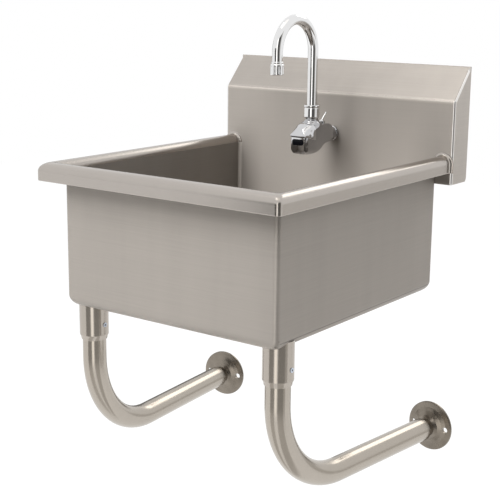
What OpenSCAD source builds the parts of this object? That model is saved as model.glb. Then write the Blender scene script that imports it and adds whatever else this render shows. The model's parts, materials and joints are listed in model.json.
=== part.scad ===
// Wall hung hand sink with a backsplash, a sensor tap and two bent tube legs.
// X runs to the right along the wall, Y into the wall, Z up. The origin is the
// centre of the wall bracket, on the wall. Heights inside the modules are taken
// from the top of the rolled rim, which lies rim_drop below the origin.

/* [Sheet metal] */
// Thickness of the sheet of bowl, rim and backsplash
sheet = 1.6; // [1.2:0.1:2.0]

/* [Bowl] */
// Outside width of the bowl
bowl_w = 444; // [400:1:460]
// Distance from the wall to the outside of the bowl's front
bowl_front = 542; // [500:1:580]
// Depth from the top of the rim to the underside of the bowl
bowl_depth = 250; // [220:1:300]
// Outside radius of the four upright corners
bowl_corner_r = 9.6; // [8:0.1:14]
// Outside radius of the coved bottom edges
bowl_cove_r = 19.6; // [14:0.1:24]

/* [Rolled rim] */
// How far the side rims stand out from the bowl
rim_side = 27; // [24:0.5:30]
// How far the front rim stands out from the bowl
rim_front_out = 38; // [32:0.5:44]
// Height of the rim from its crest to its lower edge
rim_h = 30; // [26:0.5:36]
// Radius of the roll, seen from the end of a side rim
rim_roll_r = 14; // [11:0.5:14]
// Radius of the upright outer corners of the rim
rim_corner_r = 8; // [5:0.5:12]
// Width of the hem that turns in under the lower edge
rim_hem = 6; // [4:0.5:9]
// Radius of the weld cove between the rim ends and the backsplash
rim_cove_r = 6; // [4:0.5:7]

/* [Backsplash] */
// Width of the backsplash
splash_w = 508; // [500:1:540]
// Depth of the backsplash from its front to the wall
splash_d = 55; // [48:1:62]
// Height of the bend above the rim
splash_bend_z = 96; // [85:1:110]
// Height of the top edge above the rim
splash_top_z = 156; // [145:1:170]
// How far the backsplash hangs below the rim
splash_drop = 52; // [46:1:60]
// Outside radius of the bend and of the upright edges
splash_bend_r = 6; // [4:0.5:9]
// Height of the flange that turns down along the wall
splash_flange = 20; // [15:1:26]
// Radius of the lower rear corner of the backsplash's ends
splash_rear_r = 9; // [4:1:14]
// Width of the folded end piece at each side of the backsplash
end_cap_w = 10; // [9:0.5:14]

/* [Wall bracket] */
// Distance from the rim's crest up to the middle of the bracket
rim_drop = 60; // [55:1:64]
// Width of the bracket and of the rail that hangs on it
bracket_w = 420; // [400:2:440]
// Height of the bracket's wall plate
bracket_h = 48; // [40:1:50]
// Thickness of bracket and rail
bracket_t = 2.5; // [2:0.5:3]
// Height of the bracket's hooked lip
lip_h = 14; // [10:1:18]
// Bore of the four wall screws
bracket_hole_d = 8.5; // [6:0.5:10]
// Distance between neighbouring wall screws
bracket_pitch = 120; // [100:1:124]

/* [Legs] */
// Outside diameter of the leg tube
leg_d = 41.3; // [38:0.1:42]
// Wall of the leg tube
leg_wall = 1.65; // [1.2:0.05:2.4]
// Distance of each leg socket from the middle of the sink
leg_x = 197; // [185:1:200]
// Distance of the leg sockets from the wall
leg_y = 502; // [480:1:508]
// Depth of the legs' level run below the rim
leg_run_z = 502; // [470:1:540]
// Bend radius of the legs, on the tube's centreline
leg_bend_r = 155; // [120:1:165]
// How far each leg is turned outward in its socket
leg_toe = 6; // [0:0.5:10]
// Outside diameter of the leg sockets
socket_d = 50.8; // [48:0.1:54]
// Length of the sockets below the bowl
socket_l = 63; // [55:1:75]
// Height of the tapered lower end of the sockets
socket_taper = 9; // [6:0.5:12]
// Diameter of the set screws
set_screw_d = 8; // [6:0.5:9]
// Depth of the set screws below the bowl
set_screw_z = 35; // [28:1:42]

/* [Wall feet] */
// Diameter of the foot's wall disc
foot_d = 92; // [84:1:100]
// Travel of the foot, as far as it screws out to meet the wall
foot_travel = 67; // [40:1:72]
// Length of the foot's neck that shows at rest
foot_neck_out = 14; // [10:1:24]
// Diameter of the foot's neck
foot_neck_d = 34; // [30:0.5:35]
// Diameter of the threaded stem
foot_stem_d = 16; // [12:1:18]
// Bore of the two screw holes in the disc
foot_hole_d = 10.5; // [8:0.5:12]
// Distance between the two screw holes
foot_hole_pitch = 68; // [64:1:72]

/* [Drain] */
// Distance of the drain from the wall
drain_y = 252; // [235:1:320]
// Diameter of the strainer's flange
drain_flange_d = 114; // [108:1:118]
// Outside diameter of the strainer's cup
drain_cup_d = 86; // [80:1:88]
// Depth of the strainer's cup below the bowl's floor
drain_cup_h = 46; // [40:1:52]
// Wall of the strainer's cup
drain_wall = 2; // [1.5:0.5:3]
// Outside diameter of the tailpiece
tail_d = 38.1; // [36:0.1:40]
// Length of the tailpiece below the slip nut
tail_l = 24; // [18:1:30]
// Depth of the lift-out basket
basket_h = 26; // [22:1:30]

/* [Tap] */
// Distance of the spout's upright from the wall
tap_y = 127; // [120:1:134]
// Reach of the spout from the upright to the outlet
tap_reach = 112; // [100:1:124]
// Height of the top of the spout's straight upright
spout_turn_z = 178; // [165:1:195]
// Diameter of the spout tube
spout_d = 19; // [17:0.5:20]
// Wall of the spout tube
spout_wall = 1.2; // [0.8:0.1:1.6]
// Diameter of the coupling nut
nut_d = 28.6; // [27:0.1:32]
// Height of the coupling nut's top above the rim
nut_top_z = 80; // [76:1:86]
// Diameter of the aerator
aerator_d = 25; // [23:0.5:27]
// Height of the aerator's lower end above the rim
aerator_z = 140; // [132:1:145]
// Length of the aerator
aerator_l = 23; // [20:0.5:26]
// Distance from the spout's upright forward to the front panel
head_front = 44; // [40:0.5:48]
// Half width of the tap's body at its widest
head_half = 21.4; // [19:0.2:24]
// Height of the underside of the head, below the rim when negative
head_z = -8; // [-12:0.5:-6]
// Height of the body's flat top above the rim
body_top_z = 45; // [43:0.5:46]
// Height of the shank's axis above the rim
shank_z = 22; // [20:0.5:25]
// Outside radius of the neck between the body and the backsplash
neck_r = 12; // [11.6:0.2:13]
// Radius of the flange at the neck's end
tap_flange_r = 14; // [13.5:0.5:18]
// Diameter of the shank through the backsplash
shank_d = 20.95; // [19:0.05:22]
// Length of the shank behind the backsplash
shank_l = 30; // [26:1:34]
// Width of the sensor window
window_w = 25; // [20:0.5:27]
// Height of the sensor window
window_h = 11; // [8:0.5:12]
// Distance from the spout's upright back to the temperature lever
lever_back = 33; // [29:0.5:36]
// Length of the temperature lever's pin
lever_l = 20; // [15:1:26]

/* [Hidden] */
$fn = 48;
steel = "#b3aba3";
dark_steel = "#7d756a";
polished = "#d4d5d6";
rubber_black = "#2a2a2b";
brass = "#b9a06a";

// Running gap between round faces that turn on each other
turn_gap = 0.35;
// Gap between threads and the holes that they pass through
hole_gap = 0.6;
cut = 1;

bowl_x = bowl_w / 2;
bowl_back = splash_d;
rim_x = bowl_x + rim_side;
rim_y = bowl_front + rim_front_out;
// Width of a side rim's roll from the inside of the bowl to its outer face
roll_w = rim_side + sheet;
roll_front_w = rim_front_out + sheet;
roll_flat = roll_w - 2 * rim_roll_r;
front_stretch = (roll_front_w - roll_flat) / (2 * rim_roll_r);
corner_steps = 6;
roll_steps = 8;

socket_r = socket_d / 2;
leg_r = leg_d / 2;
leg_reach = leg_y - foot_travel;
leg_top = bowl_depth + 8;
foot_disc_t = 4;
foot_cone_h = 12;
foot_neck_l = foot_neck_out + foot_travel + 12;
tube_end = leg_reach - foot_disc_t - foot_cone_h - foot_neck_out;
insert_l = 22;

floor_z = -bowl_depth + sheet;
recess_h = 2.5;
recess_r = drain_flange_d / 2 + 1.5;
seat_z = floor_z - recess_h;
cup_r = drain_cup_d / 2;
drain_hole_r = cup_r + hole_gap;
flange_t = 2;
gasket_t = 3;
locknut_t = 9;
outlet_r = tail_d / 2 + 3;
cup_bottom = seat_z - drain_cup_h;
outlet_l = 14;
// Outer radius of the basket's lip and the height of the ledge that it rests over
basket_r = cup_r - drain_wall + 2.4;
basket_seat = 0.5;
slip_nut_r = outlet_r + 6;
// Width and depth of the groove that marks the free end of the tailpiece and of the shank
relief_w = 1.5;
relief_d = 0.6;
slip_nut_lap = 5;

gasket_tap = 1.5;
shank_r = shank_d / 2;
washer_t = 2;
shank_nut_t = 8;
tap_bore = 14;
neck_flange_t = 3;
spout_r = spout_d / 2;
arch_r = tap_reach / 2;
nut_seat_z = 53;
collar_r = nut_d / 2 - 1.4;
window_z = 15.2;
window_t = 1.6;
boss_r = 6.6;
boss_h = 3;
lever_stem_r = 2.6;
lever_hub_r = 4.4;

// Moves a shape whose heights are taken from the rim's crest to the part's own frame.
module from_rim() { translate([0, 0, -rim_drop]) children(); }

// Closed loft through rings of points, all with the same count, from the bottom up.
module loft(rings) {
    n = len(rings[0]);
    m = len(rings);
    polyhedron(
        points = [for (ring = rings, p = ring) p],
        faces = concat(
            [[for (i = [0 : n - 1]) i]],
            [for (j = [0 : m - 2], i = [0 : n - 1]) [j * n + i, (j + 1) * n + i, (j + 1) * n + (i + 1) % n]],
            [for (j = [0 : m - 2], i = [0 : n - 1]) [j * n + i, (j + 1) * n + (i + 1) % n, j * n + (i + 1) % n]],
            [[for (i = [0 : n - 1]) m * n - 1 - i]]),
        convexity = 6);
}

// Level ring of a box with round upright corners, counter-clockwise.
function box_ring(x0, x1, y0, y1, r, z) = [
    for (c = [[x1 - r, y0 + r, -90], [x1 - r, y1 - r, 0], [x0 + r, y1 - r, 90], [x0 + r, y0 + r, 180]])
        for (i = [0 : corner_steps])
            [c[0] + r * cos(c[2] + 90 * i / corner_steps), c[1] + r * sin(c[2] + 90 * i / corner_steps), z]];

// Upright ring across the tap at distance y behind the spout: half width, lower and upper
// edge, radius of the lower and of the upper corners.
function tap_ring(y, w, z0, z1, low_r, top_r) = [
    for (c = [[w - low_r, z0 + low_r, -90, low_r], [w - top_r, z1 - top_r, 0, top_r],
              [top_r - w, z1 - top_r, 90, top_r], [low_r - w, z0 + low_r, 180, low_r]])
        for (i = [0 : corner_steps])
            let (a = c[2] + 90 * i / corner_steps)
            [c[0] + c[3] * cos(a), y, c[1] + c[3] * sin(a)]];

/* Bowl */

// The bowl's outside when inset is 0, and its inside when inset is the sheet.
module bowl_form(inset, top) {
    r = bowl_corner_r - inset;
    cove = bowl_cove_r - inset;
    loft(concat(
        [for (i = [0 : corner_steps])
            let (a = 90 * i / corner_steps, in = inset + cove * (1 - sin(a)))
            box_ring(-bowl_x + in, bowl_x - in, -bowl_front + in, -bowl_back + sheet - in, r,
                -bowl_depth + inset + cove * (1 - cos(a)))],
        [box_ring(-bowl_x + inset, bowl_x - inset, -bowl_front + inset, -bowl_back + sheet - inset, r, top)]));
}

module bowl() {
    color(steel) from_rim() difference() {
        union() {
            difference() {
                bowl_form(0, -rim_roll_r);
                bowl_form(sheet, cut);
            }
            translate([0, -drain_y, seat_z - sheet]) cylinder(r = recess_r + sheet, h = recess_h);
        }
        translate([0, -drain_y, seat_z]) cylinder(r = recess_r, h = recess_h + sheet + cut);
        translate([0, -drain_y, seat_z - sheet - cut]) cylinder(r = drain_hole_r, h = sheet + 2 * cut);
    }
}

/* Rolled rim */

// The rim's outer face and crest, set in by inset along its own normal.
module rim_outside(inset, bottom) {
    r = rim_roll_r - inset;
    k = front_stretch;
    cx = rim_x - rim_roll_r;
    cy = rim_y - rim_roll_r * k;
    rc = rim_corner_r - inset;
    rings = [for (i = [0 : roll_steps])
        let (a = 90 * i / roll_steps)
        box_ring(-cx - r * cos(a), cx + r * cos(a), -cy - (rim_roll_r * k - inset) * cos(a), 0,
            rc, -rim_roll_r + r * sin(a))];
    loft(concat([box_ring(-cx - r, cx + r, -cy - (rim_roll_r * k - inset), 0, rc, bottom)], rings));
}

// The opening inside the rim, which widens from the bowl's walls up to the crest.
module rim_opening(inset, top) {
    r = rim_roll_r - inset;
    k = front_stretch;
    cx = bowl_x - sheet + rim_roll_r;
    cy = bowl_front - sheet + rim_roll_r * k;
    rc = bowl_corner_r - sheet + inset;
    rings = [for (i = [0 : roll_steps])
        let (a = 90 * i / roll_steps)
        box_ring(-cx + r * cos(a), cx - r * cos(a), -cy + (rim_roll_r * k - inset) * cos(a), cut,
            rc, -rim_roll_r + r * sin(a))];
    loft(concat(rings, [box_ring(-cx, cx, -cy, cut, rc, top)]));
}

// The whole rolled rim as a U round three sides of the bowl.
module rim_form() {
    difference() {
        union() {
            difference() {
                rim_outside(0, -rim_h);
                rim_opening(0, cut);
            }
            rim_cove();
        }
        translate([0, 0, -rim_h - cut]) linear_extrude(rim_h + cut - rim_roll_r)
            polygon([for (p = box_ring(-bowl_x, bowl_x, -bowl_front, 0, bowl_corner_r, 0)) [p[0], p[1]]]);
        difference() {
            rim_outside(sheet, -rim_h + sheet);
            rim_opening(sheet, cut);
        }
        translate([0, 0, -rim_h - cut]) linear_extrude(sheet + 2 * cut)
            polygon([for (p = box_ring(-rim_x + rim_hem, rim_x - rim_hem, -rim_y + rim_hem, 0, rim_corner_r - 2, 0))
                [p[0], p[1]]]);
        translate([-splash_w, -splash_d, -rim_h - cut]) cube([2 * splash_w, 2 * splash_d, rim_h + 2 * cut]);
    }
}

// Ground plan between the two mitres, which run from the bowl's corners to the rim's.
module front_plan() {
    inner = [bowl_x - sheet, -bowl_front + sheet];
    outer = [rim_x, -rim_y];
    run = outer - inner;
    polygon([inner - 0.5 * run, outer + 0.5 * run,
        [-outer[0] - 0.5 * run[0], outer[1] + 0.5 * run[1]], [-inner[0] + 0.5 * run[0], inner[1] - 0.5 * run[1]]]);
}

// Outline of a side rim's end with a weld cove of the given size round it.
function roll_outline(grow) = concat(
    [[-grow, -rim_roll_r]],
    [for (c = [rim_roll_r, roll_w - rim_roll_r], i = [0 : roll_steps])
        let (a = (c == rim_roll_r ? 180 : 90) - 90 * i / roll_steps)
        [c + (rim_roll_r + grow) * cos(a), -rim_roll_r + (rim_roll_r + grow) * sin(a)]],
    [[roll_w + grow, -rim_h], [roll_w - rim_hem, -rim_h], [roll_w - rim_hem, -rim_roll_r]]);

// Weld cove at the wall end of the right-hand rim.
module rim_cove() {
    steps = 4;
    rings = [for (j = [0 : steps])
        let (a = 90 * j / steps, out = rim_cove_r * (1 - cos(a)))
        [for (p = roll_outline(out)) [bowl_x - sheet + p[0], -splash_d - rim_cove_r * (1 - sin(a)), p[1]]]];
    loft(rings);
}

module rim_front() {
    color(steel) from_rim() intersection() {
        rim_form();
        translate([0, 0, -rim_h - cut]) linear_extrude(rim_h + 2 * cut) front_plan();
    }
}

module rim_side_form() {
    difference() {
        rim_form();
        translate([0, 0, -rim_h - cut]) linear_extrude(rim_h + 2 * cut) front_plan();
        translate([-2 * rim_x, -rim_y, -rim_h - cut]) cube([2 * rim_x, 2 * rim_y, rim_h + 2 * cut]);
    }
}

module rim_right() { color(steel) from_rim() rim_side_form(); }
module rim_left() { color(steel) from_rim() mirror([1, 0, 0]) rim_side_form(); }

/* Backsplash */

splash_slope = (splash_top_z - splash_bend_z) / splash_d;
bend_half = (90 - atan(splash_slope)) / 2;
bend_steps = 4;

// Front and sloping top of the backsplash as points [y, z], from the bottom up to y = last_y.
function splash_front(inset, last_y) =
    let (r = splash_bend_r - inset, cy = -splash_d + splash_bend_r,
         cz = splash_bend_z - splash_bend_r * tan(bend_half))
    concat(
        [[-splash_d + inset, -splash_drop + inset]],
        [for (i = [0 : bend_steps]) let (a = 180 - 2 * bend_half * i / bend_steps) [cy + r * cos(a), cz + r * sin(a)]],
        [[last_y, splash_top_z + last_y * splash_slope - inset * sqrt(1 + splash_slope * splash_slope)]]);

module splash_section() {
    difference() {
        polygon(concat([[0, -splash_drop]], splash_front(0, 0)));
        polygon(concat([[cut, -splash_drop + sheet]], splash_front(sheet, -sheet),
            [[-sheet, splash_top_z - splash_flange], [cut, splash_top_z - splash_flange]]));
    }
}

module backsplash() {
    seam = splash_w / 2 - end_cap_w;
    tangent = bowl_x - bowl_corner_r;
    color(steel) from_rim() difference() {
        translate([-seam, 0, 0]) rotate([90, 0, 90]) linear_extrude(2 * seam) splash_section();
        translate([-tangent, -splash_d - cut, -splash_drop - cut])
            cube([2 * tangent, sheet + cut, splash_drop + cut - rim_roll_r]);
        for (s = [-1, 1]) translate([s * tangent, -splash_d + sheet - bowl_corner_r, -splash_drop - cut])
            cylinder(r = bowl_corner_r, h = splash_drop + cut - rim_roll_r);
        translate([0, -splash_d - cut, shank_z]) rotate([-90, 0, 0])
            cylinder(r = shank_r + hole_gap, h = sheet + 2 * cut);
    }
}

// Right-hand end of the backsplash, with its rounded upright edge and side plate.
module splash_end_form() {
    module skin(inset, back) {
        loft([for (p = splash_front(inset, cut))
            box_ring(0, splash_w / 2 - inset, p[0], back, splash_bend_r - inset, p[1])]);
    }
    seam = splash_w / 2 - end_cap_w;
    intersection() {
        difference() {
            skin(0, 20);
            skin(sheet, 30);
        }
        translate([seam, 0, 0]) rotate([90, 0, 90]) linear_extrude(end_cap_w) polygon(concat(
            [for (i = [0 : 6]) [splash_rear_r * (sin(15 * i) - 1), splash_rear_r * (1 - cos(15 * i)) - splash_drop]],
            [[0, splash_top_z], [-splash_d, splash_top_z], [-splash_d, -splash_drop]]));
    }
}

module splash_end_right() { color(steel) from_rim() splash_end_form(); }
module splash_end_left() { color(steel) from_rim() mirror([1, 0, 0]) splash_end_form(); }

/* Wall bracket and the rail that hangs on it */

module wall_bracket() {
    lip_gap = 1.4;
    lip_y = -sheet - bracket_t - lip_gap;
    color("#8d8f90") difference() {
        rotate([90, 0, 90]) translate([0, 0, -bracket_w / 2]) linear_extrude(bracket_w) polygon([
            [0, -bracket_h / 2], [0, bracket_h / 2], [lip_y, bracket_h / 2],
            [lip_y, bracket_h / 2 + lip_h], [lip_y - bracket_t, bracket_h / 2 + lip_h],
            [lip_y - bracket_t, bracket_h / 2 - bracket_t], [-bracket_t, bracket_h / 2 - bracket_t],
            [-bracket_t, -bracket_h / 2]]);
        for (i = [-1.5 : 1 : 1.5]) translate([i * bracket_pitch, cut, 0]) rotate([90, 0, 0])
            cylinder(d = bracket_hole_d, h = bracket_t + 2 * cut);
    }
}

module hanger_rail() {
    top = splash_top_z - 8 - rim_drop;
    color(steel) translate([-bracket_w / 2, -sheet - bracket_t, bracket_h / 2])
        cube([bracket_w, bracket_t, top - bracket_h / 2]);
}

/* Leg sockets, legs and wall feet */

// Puts a shape built round the right-hand socket's axis on its side, -1 or 1.
module at_leg(side) { translate([side * leg_x, -leg_y, 0]) children(); }

// The same for what turns with the leg.
module at_turned_leg(side) { at_leg(side) rotate([0, 0, -side * leg_toe]) children(); }

module leg_socket(side) {
    bore_r = leg_r + turn_gap;
    color(steel) from_rim() difference() {
        at_leg(side) rotate_extrude() polygon([
            [0, -bowl_depth - socket_l + 1.2], [bore_r, -bowl_depth - socket_l], [bore_r + 1.4, -bowl_depth - socket_l],
            [bore_r + 1.8, -bowl_depth - socket_l + 1.6],
            [socket_r - 0.8, -bowl_depth - socket_l + socket_taper - 1.2],
            [socket_r, -bowl_depth - socket_l + socket_taper], [socket_r, -bowl_depth + bowl_cove_r],
            [0, -bowl_depth + bowl_cove_r]]);
        bowl_form(0, cut);
        at_leg(side) translate([0, 0, -bowl_depth - socket_l - cut]) cylinder(r = bore_r, h = socket_l + cut - 4);
        at_leg(side) translate([leg_r, 0, -bowl_depth - set_screw_z]) rotate([0, 90, 0])
            cylinder(d = set_screw_d, h = socket_r);
    }
}
module leg_socket_left() { leg_socket(-1); }
module leg_socket_right() { leg_socket(1); }

// Socket set screw, with its hexagon recess outward.
module set_screw(side) {
    proud = 1.2;
    tip = leg_r + 2 * turn_gap;
    color("#9aa3ad") from_rim() at_leg(side) translate([tip, 0, -bowl_depth - set_screw_z]) rotate([0, 90, 0])
        difference() {
            cylinder(d = set_screw_d, h = socket_r + proud - tip);
            translate([0, 0, socket_r + proud - tip - 3]) cylinder(d = set_screw_d / 2, h = 4, $fn = 6);
        }
}
module set_screw_left() { set_screw(-1); }
module set_screw_right() { set_screw(1); }

// Solid bar along the leg's path: down from the socket, round the bend, along the run.
module bent_bar(r, top, reach) {
    turn_z = -leg_run_z + leg_bend_r;
    translate([0, 0, turn_z]) cylinder(r = r, h = top - turn_z);
    translate([0, leg_bend_r, turn_z]) rotate([-90, 0, -90]) rotate_extrude(angle = 90)
        translate([leg_bend_r, 0]) circle(r = r);
    translate([0, leg_bend_r, -leg_run_z]) rotate([-90, 0, 0]) cylinder(r = r, h = reach - leg_bend_r);
}

module support_leg(side) {
    color(steel) from_rim() at_turned_leg(side) difference() {
        bent_bar(leg_r, -leg_top, tube_end);
        bent_bar(leg_r - leg_wall, -leg_top + cut, tube_end + cut);
    }
}
module support_leg_left() { support_leg(-1); }
module support_leg_right() { support_leg(1); }

// Threaded bush fixed inside the tube's end, which the foot's stem screws into.
module foot_insert(side) {
    color(brass) from_rim() at_turned_leg(side)
        translate([0, tube_end - foot_neck_l + foot_neck_out - 3 - insert_l, -leg_run_z]) rotate([-90, 0, 0])
            difference() {
                cylinder(r = leg_r - leg_wall, h = insert_l);
                translate([0, 0, -cut]) cylinder(r = foot_stem_d / 2 + turn_gap, h = insert_l + 2 * cut);
            }
}
module foot_insert_left() { foot_insert(-1); }
module foot_insert_right() { foot_insert(1); }

// Flanged foot: stem, neck, spread cone and wall disc, with its wall face at leg_reach.
module wall_foot(side) {
    disc_r = foot_d / 2;
    neck_r = foot_neck_d / 2;
    stem_l = foot_travel + insert_l + 2;
    color(dark_steel) from_rim() at_turned_leg(side) translate([0, leg_reach, -leg_run_z]) rotate([90, 0, 0])
        difference() {
            rotate_extrude() polygon([
                [0, 0], [disc_r, 0], [disc_r, foot_disc_t - 1], [disc_r - 1, foot_disc_t],
                [disc_r - 10, foot_disc_t + 1.2], [neck_r + 12, foot_disc_t + 4],
                [neck_r + 5, foot_disc_t + 7.5], [neck_r + 1.5, foot_disc_t + foot_cone_h - 1.5],
                [neck_r, foot_disc_t + foot_cone_h], [neck_r, foot_disc_t + foot_cone_h + foot_neck_l - 1],
                [neck_r - 1, foot_disc_t + foot_cone_h + foot_neck_l],
                [foot_stem_d / 2, foot_disc_t + foot_cone_h + foot_neck_l],
                [foot_stem_d / 2, foot_disc_t + foot_cone_h + foot_neck_l + stem_l],
                [0, foot_disc_t + foot_cone_h + foot_neck_l + stem_l]]);
            for (s = [-1, 1]) translate([s * foot_hole_pitch / 2, 0, -cut])
                cylinder(d = foot_hole_d, h = foot_disc_t + foot_cone_h);
        }
}
module wall_foot_left() { wall_foot(-1); }
module wall_foot_right() { wall_foot(1); }

/* Drain */

module at_drain() { from_rim() translate([0, -drain_y, 0]) children(); }

module strainer_body() {
    color("#aaa7a2") at_drain() rotate_extrude() polygon([
        [cup_r - drain_wall, seat_z + basket_seat], [basket_r + turn_gap, seat_z + basket_seat],
        [basket_r + turn_gap, seat_z + flange_t - 0.4], [basket_r + 1, seat_z + flange_t],
        [drain_flange_d / 2 - 1.5, seat_z + flange_t], [drain_flange_d / 2, seat_z + 0.6],
        [drain_flange_d / 2, seat_z], [cup_r, seat_z], [cup_r, cup_bottom + 4], [cup_r - 4, cup_bottom],
        [outlet_r, cup_bottom], [outlet_r, cup_bottom - outlet_l], [outlet_r - 2, cup_bottom - outlet_l],
        [outlet_r - 2, cup_bottom + drain_wall], [cup_r - 5, cup_bottom + drain_wall],
        [cup_r - drain_wall, cup_bottom + 5]]);
}

module strainer_gasket() {
    color(rubber_black) at_drain() translate([0, 0, seat_z - sheet - gasket_t]) difference() {
        cylinder(r = drain_flange_d / 2 - 2, h = gasket_t);
        translate([0, 0, -cut]) cylinder(r = cup_r, h = gasket_t + 2 * cut);
    }
}

module strainer_locknut() {
    lugs = 6;
    color("#9b9a96") at_drain() translate([0, 0, seat_z - sheet - gasket_t - locknut_t]) difference() {
        union() {
            cylinder(r = cup_r + 6, h = locknut_t);
            for (i = [0 : lugs - 1]) rotate([0, 0, i * 360 / lugs]) translate([cup_r + 4, -5, 0])
                cube([8, 10, locknut_t - 2]);
        }
        translate([0, 0, -cut]) cylinder(r = cup_r, h = locknut_t + 2 * cut);
    }
}

module slip_nut() {
    nut_h = 16;
    color(polished) at_drain() translate([0, 0, cup_bottom - outlet_l - slip_nut_lap]) difference() {
        cylinder(r = slip_nut_r, h = nut_h, $fn = 12);
        translate([0, 0, -cut]) cylinder(r = tail_d / 2, h = nut_h + 2 * cut);
        translate([0, 0, slip_nut_lap]) cylinder(r = outlet_r, h = nut_h);
    }
}

module tailpiece() {
    r = tail_d / 2;
    top = tail_l + relief_w + slip_nut_lap;
    color(polished) at_drain() translate([0, 0, cup_bottom - outlet_l - top]) rotate_extrude() polygon([
        [r - 1.3, 0], [r, 0], [r, tail_l], [r - relief_d, tail_l], [r - relief_d, tail_l + relief_w],
        [r, tail_l + relief_w], [r, top], [r - 1.3, top]]);
}

// Lift-out basket with rings of drain holes in its floor and a lip over the cup's ledge.
module strainer_basket() {
    wall_r = cup_r - drain_wall - turn_gap;
    lip = seat_z + basket_seat + turn_gap;
    foot = lip - basket_h;
    color("#a19e98") at_drain() difference() {
        rotate_extrude() polygon([
            [3, foot], [wall_r - 9, foot], [wall_r - 4, foot + 5], [wall_r - 0.4, lip - 1], [wall_r - 0.4, lip],
            [basket_r, lip], [basket_r, lip + 0.9], [wall_r - 2.2, lip + 0.9],
            [wall_r - 5.4, foot + 6], [wall_r - 9.6, foot + 1.4], [3, foot + 1.4]]);
        for (row = [[11, 8], [18, 12], [25, 16]], i = [0 : row[1] - 1])
            rotate([0, 0, i * 360 / row[1]]) translate([row[0], 0, foot - cut]) cylinder(d = 4.2, h = 4, $fn = 16);
    }
}

// Post and knob that the basket is lifted by, riveted through its floor.
module basket_knob() {
    top = seat_z + basket_seat + turn_gap;
    foot = top - basket_h;
    color("#a19e98") at_drain() rotate_extrude() polygon([
        [0, foot - 2.5], [5, foot - 2.5], [5, foot], [3, foot], [3, foot + 1.4], [5, foot + 1.4],
        [5, foot + 4], [3, foot + 6], [3, top - 8], [7, top - 5], [8, top - 2], [6, top], [0, top + 0.6]]);
}

/* Tap */

module at_tap() { from_rim() translate([0, -tap_y, 0]) children(); }

// The body's casting, from its round rear end to the narrow chin under the sensor window.
module tap_casting() {
    w = head_half;
    top = body_top_z;
    low = head_z;
    f = head_front;
    loft([
        tap_ring(58, neck_r - 1, shank_z - 11, shank_z + 11, 10.8, 10.8),
        tap_ring(51, w - 6.5, shank_z - 11.5, top - 8.5, 10.5, 10.5),
        tap_ring(43, w - 2.2, 10, top - 2.6, 9, 8),
        tap_ring(35, w - 1, 10, top - 0.8, 7, 6),
        tap_ring(27, w - 0.4, 9.4, top, 6, 4),
        tap_ring(19, w - 0.2, 8, top, 6, 3.5),
        tap_ring(10, w - 0.1, low + 11.6, top, 7, 3.5),
        tap_ring(3, w, low + 6, top, 8, 3.5),
        tap_ring(-4, w, low + 2.8, top, 9, 3.5),
        tap_ring(-19, w - 0.6, low, top, 10, 3.5),
        tap_ring(-f + 16, w - 1.8, low, top - 9, 10, 5),
        tap_ring(-f + 9, w - 3.2, low + 0.5, 29, 10, 5),
        tap_ring(-f + 3, w - 4.2, low + 1.4, 25.6, 9.6, 4),
        tap_ring(-f + 0.8, w - 4.8, low + 2.2, 24.6, 9.2, 3.4),
        tap_ring(-f, w - 5.6, low + 3.4, 23.8, 8.6, 2.8)]);
}

// Neck that flares down from the nut's seat to the casting's top.
module tap_collar() {
    rotate_extrude() polygon([[0, 20], [collar_r + 4, 20], [collar_r + 4, body_top_z],
        [collar_r + 2.2, body_top_z + 1.6], [collar_r + 0.8, body_top_z + 4], [collar_r, body_top_z + 6.4],
        [collar_r, nut_seat_z], [0, nut_seat_z]]);
}

// Hood over the front of the head, from the seam at its sides to the brow over the window.
module hood_form() {
    w = head_half + 0.8;
    top = body_top_z + 2.6;
    f = head_front;
    loft([
        tap_ring(-18, w, 18.6, top, 1, 8),
        tap_ring(-f + 20, w - 0.8, 19.6, top - 0.3, 1, 9),
        tap_ring(-f + 14, w - 2.2, 21.4, top - 3.6, 1, 9),
        tap_ring(-f + 7.5, w - 3.6, 23, top - 8.2, 1, 8),
        tap_ring(-f + 2, w - 4.7, 24.3, top - 14, 1, 6),
        tap_ring(-f - 1, w - 5.5, 25, top - 18.4, 0.9, 3),
        tap_ring(-f - 1.8, w - 6.3, 25.6, top - 20.4, 0.8, 1.1)]);
}

module window_form(grow, depth) {
    r = window_h / 2.4;
    translate([0, -head_front + depth, window_z]) rotate([90, 0, 0]) linear_extrude(depth + cut)
        polygon([for (p = box_ring(-window_w / 2 - grow, window_w / 2 + grow, -window_h / 2 - grow,
            window_h / 2 + grow, r, 0)) [p[0], p[1]]]);
}

module faucet_body() {
    back = tap_y - splash_d - gasket_tap;
    color(polished) at_tap() difference() {
        union() {
            tap_casting();
            tap_collar();
            translate([0, 50, shank_z]) rotate([-90, 0, 0]) cylinder(r = neck_r, h = back - 50);
            translate([0, back - neck_flange_t, shank_z]) rotate([-90, 0, 0])
                cylinder(r = tap_flange_r, h = neck_flange_t);
            translate([0, lever_back, body_top_z - 6]) cylinder(r = boss_r, h = boss_h + 6);
        }
        translate([0, 0, 40]) cylinder(r = spout_r + turn_gap, h = 20);
        window_form(0, window_t);
        translate([0, lever_back, body_top_z + boss_h - 1.6]) cylinder(r = lever_hub_r + turn_gap, h = 4);
        translate([0, lever_back, body_top_z - 4]) cylinder(r = lever_stem_r + turn_gap, h = 10);
        translate([0, back - tap_bore, shank_z]) rotate([-90, 0, 0]) cylinder(d = shank_d, h = 20);
    }
}

module faucet_hood() {
    color(polished) at_tap() difference() {
        hood_form();
        tap_casting();
        tap_collar();
    }
}

module sensor_window() {
    color("#101012") at_tap() intersection() {
        window_form(0, window_t);
        translate([-40, -head_front, -20]) cube([80, 20, 80]);
    }
}

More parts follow.
